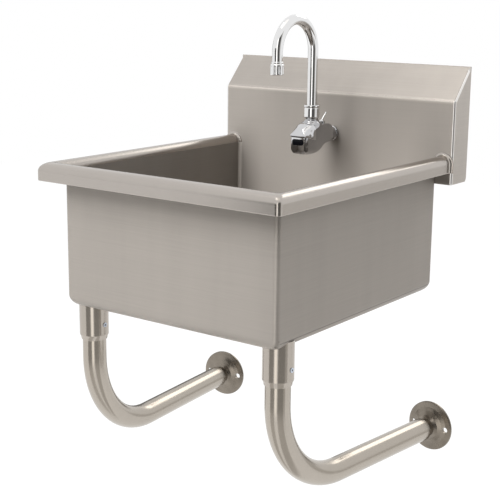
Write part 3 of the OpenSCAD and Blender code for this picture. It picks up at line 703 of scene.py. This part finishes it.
@dataclass
class Studio:
    """Camera, pale floor, soft lamps, dark flags, bright cards and a white surround, in metres."""

    camera_place: Point = (1.183382, -1.911345, 0.230286)
    azimuth: float = 0.63731
    elevation: float = 0.22286
    roll: float = 0.01123
    lens: float = 83.749
    floor_height: float = -1.2
    floor_half: float = 6.0
    floor_glow: float = 1.14
    floor_show: float = 0.85
    sky_light: float = 0.35
    aim: Point = (0.0, -0.3, -0.2)

    def build(self) -> None:
        """Sets up the whole studio."""
        self._camera()
        self._world()
        self._floor()
        self._lamp("key_lamp", (-0.5, -2.6, 2.2), 2.2, 200.0)
        self._lamp("top_lamp", (-0.4, -0.4, 2.6), 2.2, 22.0)
        ground, knee, head, ceiling = self.floor_height, -0.62, 1.7, 3.4
        low = (ground + 0.01, ground + 0.01)
        inner, outer = 2.0, 3.3
        front, right, full = (-25.0, 9.0), (34.0, 79.0), (-180.0, 180.0)
        self._panel("flag_front", front, (knee, 0.5), 0.12, inner)
        self._panel("flag_front_legs", front, (ground, knee), 0.42, inner)
        self._panel("card_front", (13.0, 28.0), (ground, head), 1.9, inner)
        self._panel("flag_right", right, (knee, head), 0.1, inner)
        self._panel("flag_right_legs", right, (ground, knee), 0.38, inner)
        self._panel("flag_edge", (79.0, 95.0), (ground, head), 0.6, inner)
        self._panel("flag_rear", (122.0, 166.0), (-1.15, -0.4), 0.72, outer)
        self._panel("flag_low_front", front, low, 0.75, inner)
        self._panel("flag_low_right", right, low, 0.7, inner)
        self._panel("flag_left", (-146.0, -112.0), (ground, 0.4), 0.2, outer)
        self._panel("card_rear", (165.0, 197.0), (1.3, 2.9), 3.0, outer)
        self._panel("card_top", full, (ceiling, ceiling), 1.3, 1.2)
        self._panel("card_corner", full, (ceiling, ceiling), 4.0, 0.6, (-0.98, -0.6))

    def _camera(self) -> None:
        """Makes the camera at the photograph's place and angle."""
        data = bpy.data.cameras.new("photo_camera")
        data.lens = self.lens
        data.sensor_width = 36.0
        camera = put("photo_camera", data)
        back = Vector((math.sin(self.azimuth) * math.cos(self.elevation),
                       -math.cos(self.azimuth) * math.cos(self.elevation), math.sin(self.elevation)))
        level = Vector((math.cos(self.azimuth), math.sin(self.azimuth), 0.0))
        up = back.cross(level)
        right = level * math.cos(self.roll) + up * math.sin(self.roll)
        top = up * math.cos(self.roll) - level * math.sin(self.roll)
        turn = Matrix((right, top, back)).transposed().to_4x4()
        camera.matrix_world = Matrix.Translation(self.camera_place) @ turn
        bpy.context.scene.camera = camera
        bpy.context.scene.view_settings.view_transform = "Standard"

    def _world(self) -> None:
        """Makes the surround, white where it is looked at and soft where it lights."""
        graph = Graph(bpy.data.worlds.new("surround"))
        strength = self._seen(graph) * (1.0 - self.sky_light) + self.sky_light
        sky = graph.add("ShaderNodeBackground", None, {"Color": WHITE, "Strength": strength})
        bpy.context.scene.world = graph.end(sky)

    @staticmethod
    def _seen(graph: Graph) -> Wire:
        """Returns 1 on rays that look at or mirror the surround, and 0 on rays that only light."""
        camera, glossy, through = (graph.add("ShaderNodeLightPath", output=f"Is {ray} Ray")
                                   for ray in ("Camera", "Glossy", "Transmission"))
        return camera.larger(glossy).larger(through)

    def _floor(self) -> None:
        """Makes the pale floor below the legs, which keeps a faint shadow."""
        graph = Graph(bpy.data.materials.new("pale_floor"))
        matt = graph.add("ShaderNodeBsdfDiffuse", None, {"Color": tint(WHITE[:3], 0.82)})
        white = graph.add("ShaderNodeEmission", None, {"Color": WHITE, "Strength": self.floor_glow})
        share = self._seen(graph) * self.floor_show
        shader = graph.add("ShaderNodeMixShader", None, {0: share, 1: matt, 2: white})
        half, z = self.floor_half, self.floor_height
        corners = [(-half, -half, z), (half, -half, z), (half, half, z), (-half, half, z)]
        floor = put_mesh("pale_floor", corners, [(0, 1, 2, 3)], graph.end(shader))

    @staticmethod
    def _panel(name: str, sector: tuple[float, float], heights: tuple[float, float], shade: float,
               radius: float, middle: tuple[float, float] = (0.0, -0.3)) -> None:
        """Makes a curved panel that only reflections see, as photographers stand round bright metal.

        Args:
            name: The panel's name.
            sector: Where it starts and ends, in degrees from the front towards the right.
            heights: Its lower and upper edge, in metres; where they are the same, it is a level disc.
            shade: How bright it looks in a reflection, where 1 is white.
            radius: How far from its middle it stands, in metres.
            middle: X and Y of its middle, in metres.
        """
        level = heights[0] == heights[1]
        points: Ring = []
        steps = 24
        for i in range(steps + 1):
            dx, dy = turned(radius, sector[0] + (sector[1] - sector[0]) * i / steps - 90.0)
            rim = (middle[0] + dx, middle[1] + dy)
            points += [(*rim, heights[0]), (*(middle if level else rim), heights[1])]
        faces = [(2 * i, 2 * i + 2, 2 * i + 3, 2 * i + 1) for i in range(steps)]
        graph = Graph(bpy.data.materials.new(name))
        glow = graph.add("ShaderNodeEmission", None, {"Color": (1.0, 0.98, 0.95, 1.0), "Strength": shade})
        panel = put_mesh(name, points, faces, graph.end(glow))
        for rays in ("camera", "diffuse", "shadow", "transmission"):
            setattr(panel, f"visible_{rays}", False)

    def _lamp(self, name: str, place: Point, size: float, power: float) -> None:
        """Makes one square soft lamp that faces the sink.

        Args:
            name: The lamp's name.
            place: Where it stands, in metres.
            size: Its edge, in metres.
            power: Its power, in watts.
        """
        data = bpy.data.lights.new(name, "AREA")
        data.size = size
        data.energy = power
        lamp = put(name, data)
        lamp.location = place
        way = Vector(self.aim) - Vector(place)
        lamp.rotation_euler = way.to_track_quat("-Z", "Y").to_euler()
        lamp.visible_glossy = False


@dataclass
class Assembly:
    """What every sub-assembly holds: the materials, by slot or by the place that they suit."""

    finishes: dict[str, bpy.types.Material]


@dataclass
class Bowl(Assembly):
    """Deep bowl with coved edges and a pressed seat round the drain."""

    width: float = 444.0
    front: float = 542.0
    back: float = 55.0
    depth: float = 250.0
    corner: float = 9.6
    cove: float = 19.6
    top: float = -14.0
    drain_y: float = 252.0
    recess: float = 58.5
    recess_depth: float = 2.5
    drain_hole: float = 43.6

    def _wall(self, inset: float) -> list[Ring]:
        """Makes one skin from the top, down the walls and round the cove to the floor.

        Args:
            inset: 0 for the outside and the sheet's thickness for the inside.

        Returns:
            The rings from the top down.
        """
        cove = self.cove - inset
        floor = inset - self.depth
        heights = [(inset, self.top), (inset, self.top - GUARD), (inset, floor + cove + GUARD)]
        for angle in reversed(quarter(12)):
            up, out = turned(cove, angle)
            heights.append((inset + cove - out, floor + cove - up))
        heights.append((inset + cove + GUARD, floor))
        return [rounded_ring(self.width / 2 - step, step - self.front, SHEET - self.back - step,
                             self.corner - inset, height) for step, height in heights]

    def _round(self, radius: float, height: float) -> Ring:
        """Makes a ring round the drain."""
        return [(x, y - self.drain_y, height) for x, y in (turned(radius, angle) for angle in around(96))]

    def build(self) -> None:
        """Builds the bowl as one closed skin with the drain's hole."""
        shell = Shell("bowl_shell")
        inside = shell.skin(self._wall(SHEET))
        outside = shell.skin(self._wall(0.0))
        shell.strip(outside[0], inside[0])
        floor = SHEET - self.depth
        seat = floor - self.recess_depth
        r, hole = self.recess, self.drain_hole
        drain = shell.skin([self._round(radius, height) for radius, height in (
            *near(r, floor, ((3.0, 0), (2.0, 0), (1.2, -0.25), (0.5, -0.8), (0, -1.5))),
            *near(r, seat, ((-0.5, 0.4), (-1.2, 0), (-2.0, 0))), (hole, seat), (hole, seat - SHEET),
            *near(r, seat, ((0, -SHEET), (SHEET, 0.2))),
            *near(r + SHEET, -self.depth, ((0.4, 0), (2.0, 0))))])
        shell.fill(inside[-1], drain[0])
        shell.fill(outside[-1], drain[-1])
        piece = shell.make("sink", ["bowl"], self.finishes["sheet_steel"])
        middle = (self.width - SHEET) / 2000
        # Painted shade: the inner side walls get a darker copy of the sheet steel, for the shade inside the
        # bowl.
        paint(piece, self.finishes["painted_shade_side_steel"],
              lambda face: abs(face.normal.x) > 0.9 and abs(face.center.x) < middle)


@dataclass
class Rim(Assembly):
    """Rolled rim round three sides of the bowl, coved into the backsplash."""

    inner_half: float = 220.4
    inner_front: float = 540.4
    side: float = 28.6
    front: float = 39.6
    roll: float = 14.0
    height: float = 30.0
    hem: float = 6.0
    corner: float = 8.0
    cove: float = 6.0
    end_y: float = -55.0

    def _row(self, out: float, ahead: float, height: float, radius: float,
             lean: tuple[float, float] = (0.0, 0.0)) -> Ring:
        """Makes one line along the whole rim.

        Args:
            out: Distance from the bowl's side wall.
            ahead: Distance from the bowl's front wall.
            height: Height from the crest.
            radius: Radius of its corners in plan.
            lean: Which way the line spreads in the coves, outward and up.

        Returns:
            The points from the left end to the right end.
        """
        half = self.inner_half + out
        ends: Ring = []
        for angle in reversed(quarter(6)):
            shrink, rise = turned(self.cove, angle)
            grow = self.cove - shrink
            ends.append((half + lean[0] * grow, self.end_y - self.cove + rise, height + lean[1] * grow))
        ends.append((half, self.end_y - self.cove - 2.0, height))
        path = front_path(half, -self.inner_front - ahead, radius, height)
        return [(-x, y, z) for x, y, z in ends] + path + list(reversed(ends))

    def _skin(self, inset: float, lean: float) -> list[Ring]:
        """Makes one skin from the bowl's wall over the roll to the hem's edge.

        Args:
            inset: 0 for the outside and the sheet's thickness for the inside.
            lean: 1 where the skin spreads in the coves, and 0 where it doesn't.

        Returns:
            The lines from the bowl's wall outward.
        """
        stretch = (self.front - (self.side - 2 * self.roll)) / 2
        r, k = self.roll - inset, stretch - inset
        inner, outer = self.corner + inset, self.corner - inset
        rows = [self._row(inset, inset, -self.roll + up, inner, (-lean, 0.0)) for up in (0.0, 0.3)]
        rising = [180.0 - angle for angle in quarter(16)[1:]]
        falling = quarter(16)[::-1]
        for out, ahead, corner, angles in ((self.roll, stretch, inner, rising),
                                           (self.side - self.roll, self.front - stretch, outer, falling)):
            for level, rise in (turned(1.0, angle) for angle in angles):
                rows.append(self._row(out + r * level, ahead + k * level, r * rise - self.roll, corner,
                                      (lean * level, lean * rise)))
        edge = inset - self.height
        for cut, height in ((0.0, -self.roll - GUARD), (0.0, edge + 1.6), (0.0, edge + 0.8),
                            (0.25, edge + 0.25), (0.8, edge)):
            step = inset + cut
            rows.append(self._row(self.side - step, self.front - step, height, outer, (lean, 0.0)))
        rows.append(self._row(self.side - self.hem, self.front - self.hem, edge, outer))
        return rows

    def build(self) -> None:
        """Builds the rim as one hollow roll."""
        shell = Shell("rolled_rim")
        outside = shell.skin(self._skin(0.0, 1.0), closed=False)
        inside = shell.skin(self._skin(SHEET, 0.0), closed=False)
        shell.strip(outside[-1], inside[-1], closed=False)
        shell.strip(outside[0], inside[0], closed=False)
        shell.make("sink", ["rim_front", "rim_left", "rim_right"], self.finishes["rim_steel"])


@dataclass
class Backsplash(Assembly):
    """Folded sheet behind the bowl, with a sloping top, closed ends and a wall flange."""

    half: float = 254.0
    depth: float = 55.0
    drop: float = 52.0
    bend_z: float = 96.0
    top_z: float = 156.0
    bend_radius: float = 6.0
    flange: float = 20.0
    rear_corner: float = 9.0
    notch_half: float = 214.0
    notch_top: float = -14.0
    edge: float = 2.0

    def _row(self, front: float, height: float, inset: float = 0.0, back: float = 0.0) -> Ring:
        """Makes one level line round the front and both ends.

        Args:
            front: The front's Y.
            height: Its Z.
            inset: How far the ends are drawn in.
            back: Where the ends stop, as Y.

        Returns:
            The points from the rear left to the rear right.
        """
        radius = max(0.02, min(self.bend_radius - inset, (back - front) * 0.98 - GUARD))
        half = self.half - inset
        path = front_path(half, front, radius, height, (-self.notch_half, self.notch_half))
        return [(x, min(y, back), z) for x, y, z in ((-half, back, height), *path, (half, back, height))]

    def _rows(self) -> list[Ring]:
        """Makes the level lines of the whole sheet.

        Returns:
            The lines, from the underside up the front, over the slope and down the wall flange.
        """
        low = -self.drop
        rows = []
        for angle in quarter(4):
            level, rise = turned(self.edge, angle)
            inset = self.edge - rise
            rows.append((inset - self.depth, low + self.edge - level, inset))
        rows += [(-self.depth, low + h, 0.0) for h in (3.5, 5.5, 7.5, 9.0)]
        rows += [(-self.depth, self.notch_top, 0.0), (-self.depth, 40.0, 0.0)]
        slope = (self.top_z - self.bend_z) / self.depth
        half_turn = (90.0 - math.degrees(math.atan(slope))) / 2
        centre_z = self.bend_z - self.bend_radius * math.tan(math.radians(half_turn))
        rows.append((-self.depth, centre_z - GUARD, 0.0))
        for i in range(9):
            y, z = turned(self.bend_radius, 180.0 - 2 * half_turn * i / 8)
            rows.append((self.bend_radius - self.depth + y, centre_z + z, 0.0))
        run = [rows[-1][0] + 0.6, -40.0, -20.0, -10.0, -8.0, -7.0, -6.0, -5.0, -4.0, -3.0, -2.2]
        rows += [(y, self.top_z + y * slope, 0.0) for y in run]
        rows.append((-1.4, self.top_z - 1.1, 0.0))
        made = []
        for y, z, inset in rows:
            r = self.rear_corner
            lift = max(0.0, r - (z - low))
            back = math.sqrt(max(0.0, r ** 2 - lift ** 2)) - r
            made.append(self._row(y, z, inset, back))
        for y, below in ((-0.7, 0.6), (-0.2, 0.9), (-0.02, 2.0), (-0.02, self.flange)):
            made.append(self._row(y, self.top_z - below, back=y))
        return made

    def build(self) -> None:
        """Builds the folded sheet, open where the bowl's rear wall takes over."""
        shell = Shell("splash_sheet")
        rows = [shell.row(row) for row in self._rows()]
        middle = len(rows[0]) // 2 - 1
        for low, high in zip(rows, rows[1:]):
            below = shell.points[high[0]][2] <= self.notch_top + 0.01
            shell.strip(low, high, closed=False, gap=range(middle, middle + 1) if below else range(0))
        foot = rows[0]
        back = SHEET - self.depth + 0.2
        inner = shell.row([(-self.notch_half, back, -self.drop), (self.notch_half, back, -self.drop)])
        shell.fill([*foot[:middle + 1], *inner, *foot[middle + 1:]])
        piece = shell.make("sink", ["backsplash", "splash_end_left", "splash_end_right"],
                           self.finishes["splash_steel"], sheet=SHEET)
        # Painted shade: the sloping top gets a darker copy of the splash steel, with its own real sheen.
        paint(piece, self.finishes["painted_shade_slope_steel"], lambda face: face.normal.z > 0.6)
        # Painted highlight: the rounded corner edges get a much lighter copy of the steel.
        paint(piece, self.finishes["painted_highlight_edge_steel"], lambda face: abs(face.normal.x) > 0.3)
        # Painted light: the end plates get a lighter copy of the splash steel.
        paint(piece, self.finishes["painted_light_end_steel"], lambda face: abs(face.normal.x) > 0.9)


@dataclass
class Leg(Assembly):
    """One bent leg tube in its socket under the bowl."""

    side: int
    leg_x: float = 197.0
    leg_y: float = 502.0
    toe: float = 6.0
    radius: float = 20.65
    wall: float = 1.65
    bend: float = 155.0
    run_z: float = 502.0
    top_z: float = -258.0
    tube_end: float = 405.0
    socket_radius: float = 25.4
    socket_low: float = -313.0
    taper: float = 9.0
    cove_reach: float = 0.88

    @property
    def name(self) -> str:
        """Returns the side's name."""
        return "left" if self.side < 0 else "right"

    def _upright(self, point: Point) -> Point:
        """Moves a point from the leg's axis to the part's space."""
        return self.side * self.leg_x + point[0], point[1] - self.leg_y, point[2]

    def _toed(self, point: Point) -> Point:
        """Moves a point from the leg's plane to the part's space."""
        (x, y, z), (cos, sin) = point, turned(1.0, -self.side * self.toe)
        return self._upright((x * cos - y * sin, x * sin + y * cos, z))

    def _under_bowl(self, x: float, y: float) -> float:
        """Finds the bowl's underside, which rises in a cove at its edges.

        Args:
            x: The point's X.
            y: The point's Y.

        Returns:
            The height there.
        """
        cove = Bowl.cove
        over = max(abs(x) - Bowl.width / 2 + cove, -y - Bowl.front + cove, 0.0)
        return cove - math.sqrt(cove ** 2 - min(over, self.cove_reach * cove) ** 2) - Bowl.depth

    def _socket(self) -> None:
        """Builds the tapered socket up to the bowl's underside."""
        r, low = self.socket_radius, self.socket_low
        profile = [*near(self.radius + 0.35, low, ((0, 20), (0, 0.3), (0.3, 0), (1.3, 0), (1.6, 0.4),
                                                   (1.8, 1.6), (2.0, 2.6))),
                   *near(r, low + self.taper, ((-0.9, -1.8), (-0.35, -0.7), (-0.06, 0), (0, 0.8), (0, 1.6))),
                   (r, -Bowl.depth - 1.0)]
        shell = Shell(f"leg_socket_tube_{self.name}")
        shell.lathe(profile, self._upright)
        last = list(range(len(shell.points) - LATHE_STEPS, len(shell.points)))
        top = [(x, y, self._under_bowl(x, y) + 0.7) for x, y, _ in (shell.points[n] for n in last)]
        shell.strip(last, shell.row(top))
        shell.make("sink", [f"leg_socket_{self.name}"], self.finishes["socket_steel"])

    def _tube(self) -> None:
        """Builds the bent tube, hollow at its open end."""
        turn_z = self.bend - self.run_z
        path = [(0.0, self.top_z, -90.0), (0.0, turn_z + GUARD, -90.0)]
        for angle in quarter(40):
            back, down = turned(self.bend, angle)
            path.append((self.bend - back, turn_z - down, angle - 90.0))
        end = self.tube_end
        path += [(y, -self.run_z, 0.0) for y in (self.bend + GUARD, end - 0.5, end, end, end - 40.0)]
        bore = self.radius - self.wall
        radii = [self.radius] * (len(path) - 3) + [self.radius - 0.4, bore, bore]
        shell = Shell(f"leg_tube_{self.name}")
        shell.bar(path, radii, self._toed)
        shell.make(f"{self.name}_leg", [f"support_leg_{self.name}"],
                   self.finishes["tube_steel"])

    def build(self) -> None:
        """Builds the socket and the tube."""
        self._socket()
        self._tube()


@dataclass
class SensorTap(Assembly):
    """Cast tap with a hood over its sensor window, a lever, a nut and a gooseneck spout."""

    axis_y: float = -127.0
    front: float = 44.0
    half: float = 21.4
    low: float = -8.0
    top: float = 45.0
    shank_z: float = 22.0
    neck: float = 12.0
    flange: float = 14.0
    flange_thick: float = 3.0
    back: float = 70.5
    nut: float = 14.3
    nut_low: float = 53.0
    nut_top: float = 80.0
    spout: float = 9.5
    turn_z: float = 178.0
    reach: float = 112.0
    aerator: float = 12.5
    aerator_z: float = 140.0
    aerator_long: float = 23.0
    lever_back: float = 33.0
    lever_long: float = 20.0
    window: tuple[float, float, float] = (25.0, 11.0, 15.2)

    def _at(self, back: float = 0.0) -> Callable[[Point], Point]:
        """Returns what moves a point from an upright axis, back from the spout's, to the part's space."""
        return lambda point: (point[0], point[1] + self.axis_y + back, point[2])

    def _at_shank(self, point: Point) -> Point:
        """Moves a point from the shank's axis, which runs to the wall, to the part's space."""
        return point[0], point[2] + self.axis_y, point[1] + self.shank_z

    def _ring(self, row: Sequence[float]) -> Ring:
        """Makes one upright ring across the tap.

        Args:
            row: Distance behind the axis, half width, lower and upper edge, and radius of the lower and of
                the upper corners.

        Returns:
            The ring's points.
        """
        y, w, z0, z1, low_r, top_r = row
        ring: Ring = []
        for x, z, start, r in ((w - low_r, z0 + low_r, -90.0, low_r), (w - top_r, z1 - top_r, 0.0, top_r),
                               (top_r - w, z1 - top_r, 90.0, top_r), (low_r - w, z0 + low_r, 180.0, low_r)):
            for angle in quarter(8):
                dx, dz = turned(r, start + angle)
                ring.append((x + dx, y + self.axis_y, z + dz))
        return ring

    def _casting(self) -> list[list[float]]:
        """Returns the body's rows from its rear end to the chin."""
        w, f, low, top, z = self.half, self.front, self.low, self.top, self.shank_z
        return easy_rows([
            [58, self.neck - 1, z - 11, z + 11, 10.8, 10.8], [51, w - 6.5, z - 11.5, top - 8.5, 10.5, 10.5],
            [43, w - 2.2, 10, top - 2.6, 9, 8], [35, w - 1, 10, top - 0.8, 7, 6],
            [27, w - 0.4, 9.4, top, 6, 4], [19, w - 0.2, 8, top, 6, 3.5],
            [10, w - 0.1, low + 11.6, top, 7, 3.5], [3, w, low + 6, top, 8, 3.8],
            [-4, w, low + 2.8, top, 9, 5.5], [-19, w - 0.6, low, top, 10, 11.5],
            [-f + 16, w - 1.8, low, top - 9, 10, 10], [-f + 9, w - 2.8, low + 0.5, 29, 10, 6],
            [-f + 4.2, w - 4.0, low + 1.4, 25.8, 9.6, 4], [-f + 1.4, w - 5.7, low + 3.0, 24.8, 9.0, 3.4],
            [-f, w - 7.6, low + 5.0, 23.8, 8.0, 2.8]], 5)

    def _hood_rows(self) -> list[list[float]]:
        """Returns the hood's rows from its seam to the brow."""
        w, f, top = self.half + 0.8, self.front, self.top + 2.6
        return easy_rows([
            [-18, w, 18.6, top - 0.4, 1, 13], [-f + 20, w - 0.8, 19.6, top - 1.5, 1, 15.5],
            [-f + 14, w - 2.2, 21.4, top - 4.2, 1, 17], [-f + 7.5, w - 3.6, 23, top - 8.6, 1, 14.8],
            [-f + 2, w - 4.7, 24.3, top - 14.4, 1, 8.2], [-f - 1, w - 5.5, 25, top - 18.6, 0.9, 2.9],
            [-f - 1.8, w - 6.3, 25.6, top - 20.6, 0.6, 0.7]], 5)

    def _body(self) -> None:
        """Builds the casting with its front panel, collar, neck, flange and lever boss."""
        shell = Shell("tap_casting")
        rows = shell.skin([self._ring(row) for row in self._casting()])
        shell.faces += [tuple(rows[0]), tuple(rows[-1])]
        r, top, seat = self.nut - 1.4, self.top, self.nut_low + 0.5
        shell.lathe([*near(r, top, ((8.2, -3), (7.4, -0.4), (6, 1.6), (4.3, 3.2), (2.6, 4.5), (1.2, 5.6),
                                    (0.4, 6.6), (0, 7.4))), (r, seat), (0, seat)], self._at())
        neck, edge, back = self.neck, self.flange, self.back
        front = back - self.flange_thick
        shell.lathe([(neck, 50), *near(neck, front, ((0, -2), (0.5, -0.6), (1.2, 0))),
                     *near(edge, front, ((-0.6, 0), (0, 0.6))), (edge, back), (0, back)], self._at_shank)
        boss = ((6.6, -4), (6.6, 2.3), (6.3, 2.8), (5.8, 3), (4.75, 3), (4.75, 1.4), (0, 1.4))
        shell.lathe(near(0, top, boss), self._at(self.lever_back), SMALL_LATHE_STEPS)
        # Painted shade: the casting and its front panel get darker copies of the chrome.
        piece = shell.make("sink", ["faucet_body"], self.finishes["painted_shade_body_chrome"], sharp=38.0)
        panel_y = (self.axis_y - self.front + 0.3) / 1000
        paint(piece, self.finishes["painted_shade_panel_chrome"], lambda face: face.center.y < panel_y)

    def _hood(self) -> None:
        """Builds the hood."""
        shell = Shell("tap_hood")
        rows = shell.skin([self._ring(row) for row in self._hood_rows()])
        shell.faces += [tuple(rows[0]), tuple(rows[-1])]
        # Painted shade: the hood gets a darker copy of the chrome.
        shell.make("sink", ["faucet_hood"], self.finishes["painted_shade_hood_chrome"], sharp=50.0)

    def _window(self) -> None:
        """Builds the sensor window, a shallow pillow with cut corners."""
        wide, high, z = self.window
        shell = Shell("sensor_pane")
        rings: list[Ring] = []
        for inset, out in ((0.0, -1.5), (0.0, 0.1), (0.15, 0.28), (0.5, 0.38)):
            half = high / 2 - inset
            ring = rounded_ring(wide / 2 - inset, -half, half, high / 2.4 - inset, 0.0)
            rings.append([(x, self.axis_y - self.front - out, y + z) for x, y, _ in ring])
        rows = shell.skin(rings)
        shell.fill(rows[0])
        shell.faces.append(tuple(rows[-1]))
        shell.make("sink", ["sensor_window"], self.finishes["window_black"])

    def _lever(self) -> None:
        """Builds the temperature lever, a pin with a ball end on a small hub."""
        hub, start, thick, lean = self.top + 1.75, self.top + 2.95, 1.9, 44.0
        place = self._at(self.lever_back)
        shell = Shell("lever_pin")
        disc = ((2.6, -4.4), (2.6, 0), (4.4, 0), (4.4, 1.6), (3.9, 2.4), (3, 3.1), (1.8, 3.6), (0, 3.8))
        shell.lathe(near(0, hub, disc), place, SMALL_LATHE_STEPS)
        stations = [(self.lever_long * share, thick - 0.6 * share)
                    for share in (0, 0.3, 0.6, 0.85, 0.93, 0.955)]
        for angle in range(-70, 91, 10):
            off, rise = turned(thick, angle)
            stations.append((self.lever_long + rise, max(off, 0.001)))
        along = [turned(reach, lean) for reach, _ in stations]
        shell.bar([(y, start + z, lean) for y, z in along], [radius for _, radius in stations], place, 24)
        shell.make("lever", ["temperature_lever"], self.finishes["chrome"])

    def _nut(self) -> None:
        """Builds the coupling nut with its bead."""
        r, bore, low, top = self.nut, self.spout + 0.35, self.nut_low, self.nut_top
        shell = Shell("coupling_nut")
        shell.lathe([
            (bore, low), *near(r, low, ((-3, 0), (-2.5, 1.2), (-2.2, 2.8), (-1.5, 3.7), (-0.6, 4.2),
                                        (-0.15, 4.7), (0, 5.4), (0, 6.2))),
            *near(r, top, ((0, -6.4), (-0.15, -5.8), (-0.5, -5.4), (-0.5, -4.6), (-0.1, -4.2), (0.5, -3.7),
                           (0.7, -3.2), (0.7, -1.1), (0.5, -0.5), (0, 0))),
            (bore, top), (bore, low)], self._at())
        shell.make("sink", ["spout_nut"], self.finishes["chrome"])

    def _gooseneck(self) -> None:
        """Builds the bent spout tube."""
        arch = self.reach / 2
        tip = self.aerator_z + self.aerator_long - 8
        path = [(0.0, 42.0, 90.0), (0.0, self.turn_z - GUARD, 90.0)]
        for angle in (2 * half_angle for half_angle in quarter(64)):
            y, z = turned(arch, angle)
            path.append((y - arch, self.turn_z + z, 90.0 + angle))
        path += [(-self.reach, self.turn_z - GUARD, 270.0), (-self.reach, tip, 270.0)]
        shell = Shell("spout_tube")
        shell.bar(path, [self.spout] * len(path), self._at())
        shell.make("spout", ["gooseneck_spout"], self.finishes["chrome"])

    def _aerator(self) -> None:
        """Builds the aerator's housing with its shallow flutes."""
        r, s, low, top = self.aerator, self.spout, self.aerator_z, self.aerator_z + self.aerator_long

        def flute(radius: float, height: float, angle: float) -> float:
            """Draws the radius in at ten places round the lower part.

            Args:
                radius: The radius without flutes.
                height: Where it is.
                angle: Which way it points, in degrees.

            Returns:
                The radius.
            """
            if radius < r - 0.3 or not low + 2 < height < top - 7:
                return radius
            return radius - 0.9 * max(0.0, math.cos(math.radians(10 * angle))) ** 1.5

        shell = Shell("aerator_shell")
        shell.lathe([
            (s - 0.5, top - 8), (s - 0.5, low),
            *near(r, low, ((-1, 0), (-0.3, 0.3), (0, 1), (0, 2), (0, 2.6), (0, 8))),
            *near(r, top, ((0, -7.6), (0, -7), (0, -6), (-0.2, -5.4), (-0.8, -5))),
            *near(s, top, ((1.1, -4), (0.9, -3.4), (1.2, -2.6), (1.2, -1.2), (0.9, -0.4), (0.4, 0),
                           (-0.2, 0)))], self._at(-self.reach), 120, flute)
        shell.make("spout", ["aerator_housing"], self.finishes["chrome"])

    def build(self) -> None:
        """Builds the tap's visible pieces."""
        for step in (self._body, self._hood, self._window, self._lever, self._nut, self._gooseneck,
                     self._aerator):
            step()


class Finishes:
    """All materials of the sink, by slot or by the piece that they suit."""

    def __init__(self) -> None:
        """Makes every material once."""
        bright = {"metallic": 1.0, "mottle": 0.3}
        recipes: dict[str, Any] = {
            # sheet_steel and splash_steel are painted lighter low on the wall behind the bowl (painted
            # light, by lift).
            "sheet_steel": BrushedSteel(roughness=0.6, spread=0.9, mottle=0.8, lift=0.5),
            # splash_steel's colour also gets a painted highlight along the bend.
            "splash_steel": BrushedSteel(roughness=0.6, spread=0.9, mottle=0.8, lift=0.5, polish_and_painted_highlight=0.005),
            # Painted shade: the slope's colour is darker than the same steel elsewhere.
            "painted_shade_slope_steel": BrushedSteel(colour=(0.34, 0.312, 0.285), turn=0.0, roughness=0.33, spread=0.2,
                                        mottle=0.8, polish_and_painted_highlight=0.005),
            # Painted shade: a darker copy of the sheet steel for the bowl's shaded inner side walls.
            "painted_shade_side_steel": BrushedSteel(colour=(0.27, 0.248, 0.225), roughness=0.5),
            # Painted light: a lighter copy of the steel for the splash's end plates.
            "painted_light_end_steel": BrushedSteel(colour=(0.6, 0.557, 0.514), turn=0.0, roughness=0.42),
            # Painted highlight: a near-white copy of the steel for the splash's rounded edges.
            "painted_highlight_edge_steel": BrushedSteel(colour=(0.85, 0.83, 0.81), roughness=0.3, **bright),
            "rim_steel": BrushedSteel(colour=(0.47, 0.435, 0.40), grain=Grain.RIM, roughness=0.25,
                                      spread=0.3, depth=0.006, **bright),
            "socket_steel": BrushedSteel(colour=(0.44, 0.40, 0.355), grain=Grain.ROUND, roughness=0.2,
                                         spread=0.6, depth=0.004, **bright),
            "tube_steel": BrushedSteel(colour=(0.44, 0.40, 0.35), grain=Grain.ROUND, roughness=0.2,
                                       spread=0.6, depth=0.003, **bright),
            "cast_steel": CastMetal(colour=(0.25, 0.22, 0.185), roughness=0.28, stain=0.5),
            "galvanised_steel": CastMetal(colour=(0.42, 0.43, 0.44), roughness=0.45),
            "screw_steel": Chrome(colour=(0.55, 0.6, 0.68), roughness=0.18),
            "strainer_steel": BrushedSteel(grain=Grain.ROUND, roughness=0.25, depth=0.01),
            "brass": CastMetal(colour=(0.62, 0.46, 0.2), roughness=0.3),
            "chrome": Chrome(),
            # Painted shade: darker copies of the same chrome for the tap's front panel, casting and hood.
            "painted_shade_panel_chrome": Chrome(colour=(0.7, 0.7, 0.71), roughness=0.1),
            "painted_shade_body_chrome": Chrome(colour=(0.45, 0.45, 0.46), roughness=0.06, ripple=0.35),
            "painted_shade_hood_chrome": Chrome(colour=(0.62, 0.62, 0.63), roughness=0.06, ripple=0.3),
            "rubber": Moulded(),
            "black_plastic": Moulded(colour=(0.02, 0.02, 0.02), roughness=0.4),
            "window_black": Moulded(colour=(0.003, 0.003, 0.004), roughness=0.2, gloss=0.12),
        }
        self.made = {name: recipe.material(name) for name, recipe in recipes.items()}

    def dress(self, frame: dict[str, Any]) -> None:
        """Gives every node the finish of its slot.
        """
        for part in frame["record"]["subparts"]:
            for slot in frame["nodes"][part["node"]].material_slots:
                slot.material = self.made[part["material_slot"]]


def main() -> None:
    """Builds the scene in order and reports each piece."""
    logging.basicConfig(level=logging.INFO, format="%(message)s")
    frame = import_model()
    Studio().build()
    finishes = Finishes()
    finishes.dress(frame)
    log.info("studio and finishes ready")
    made = finishes.made
    for assembly in (Bowl(made), Rim(made), Backsplash(made), Leg(made, -1), Leg(made, 1), SensorTap(made)):
        assembly.build()


if __name__ == "__main__":
    main()
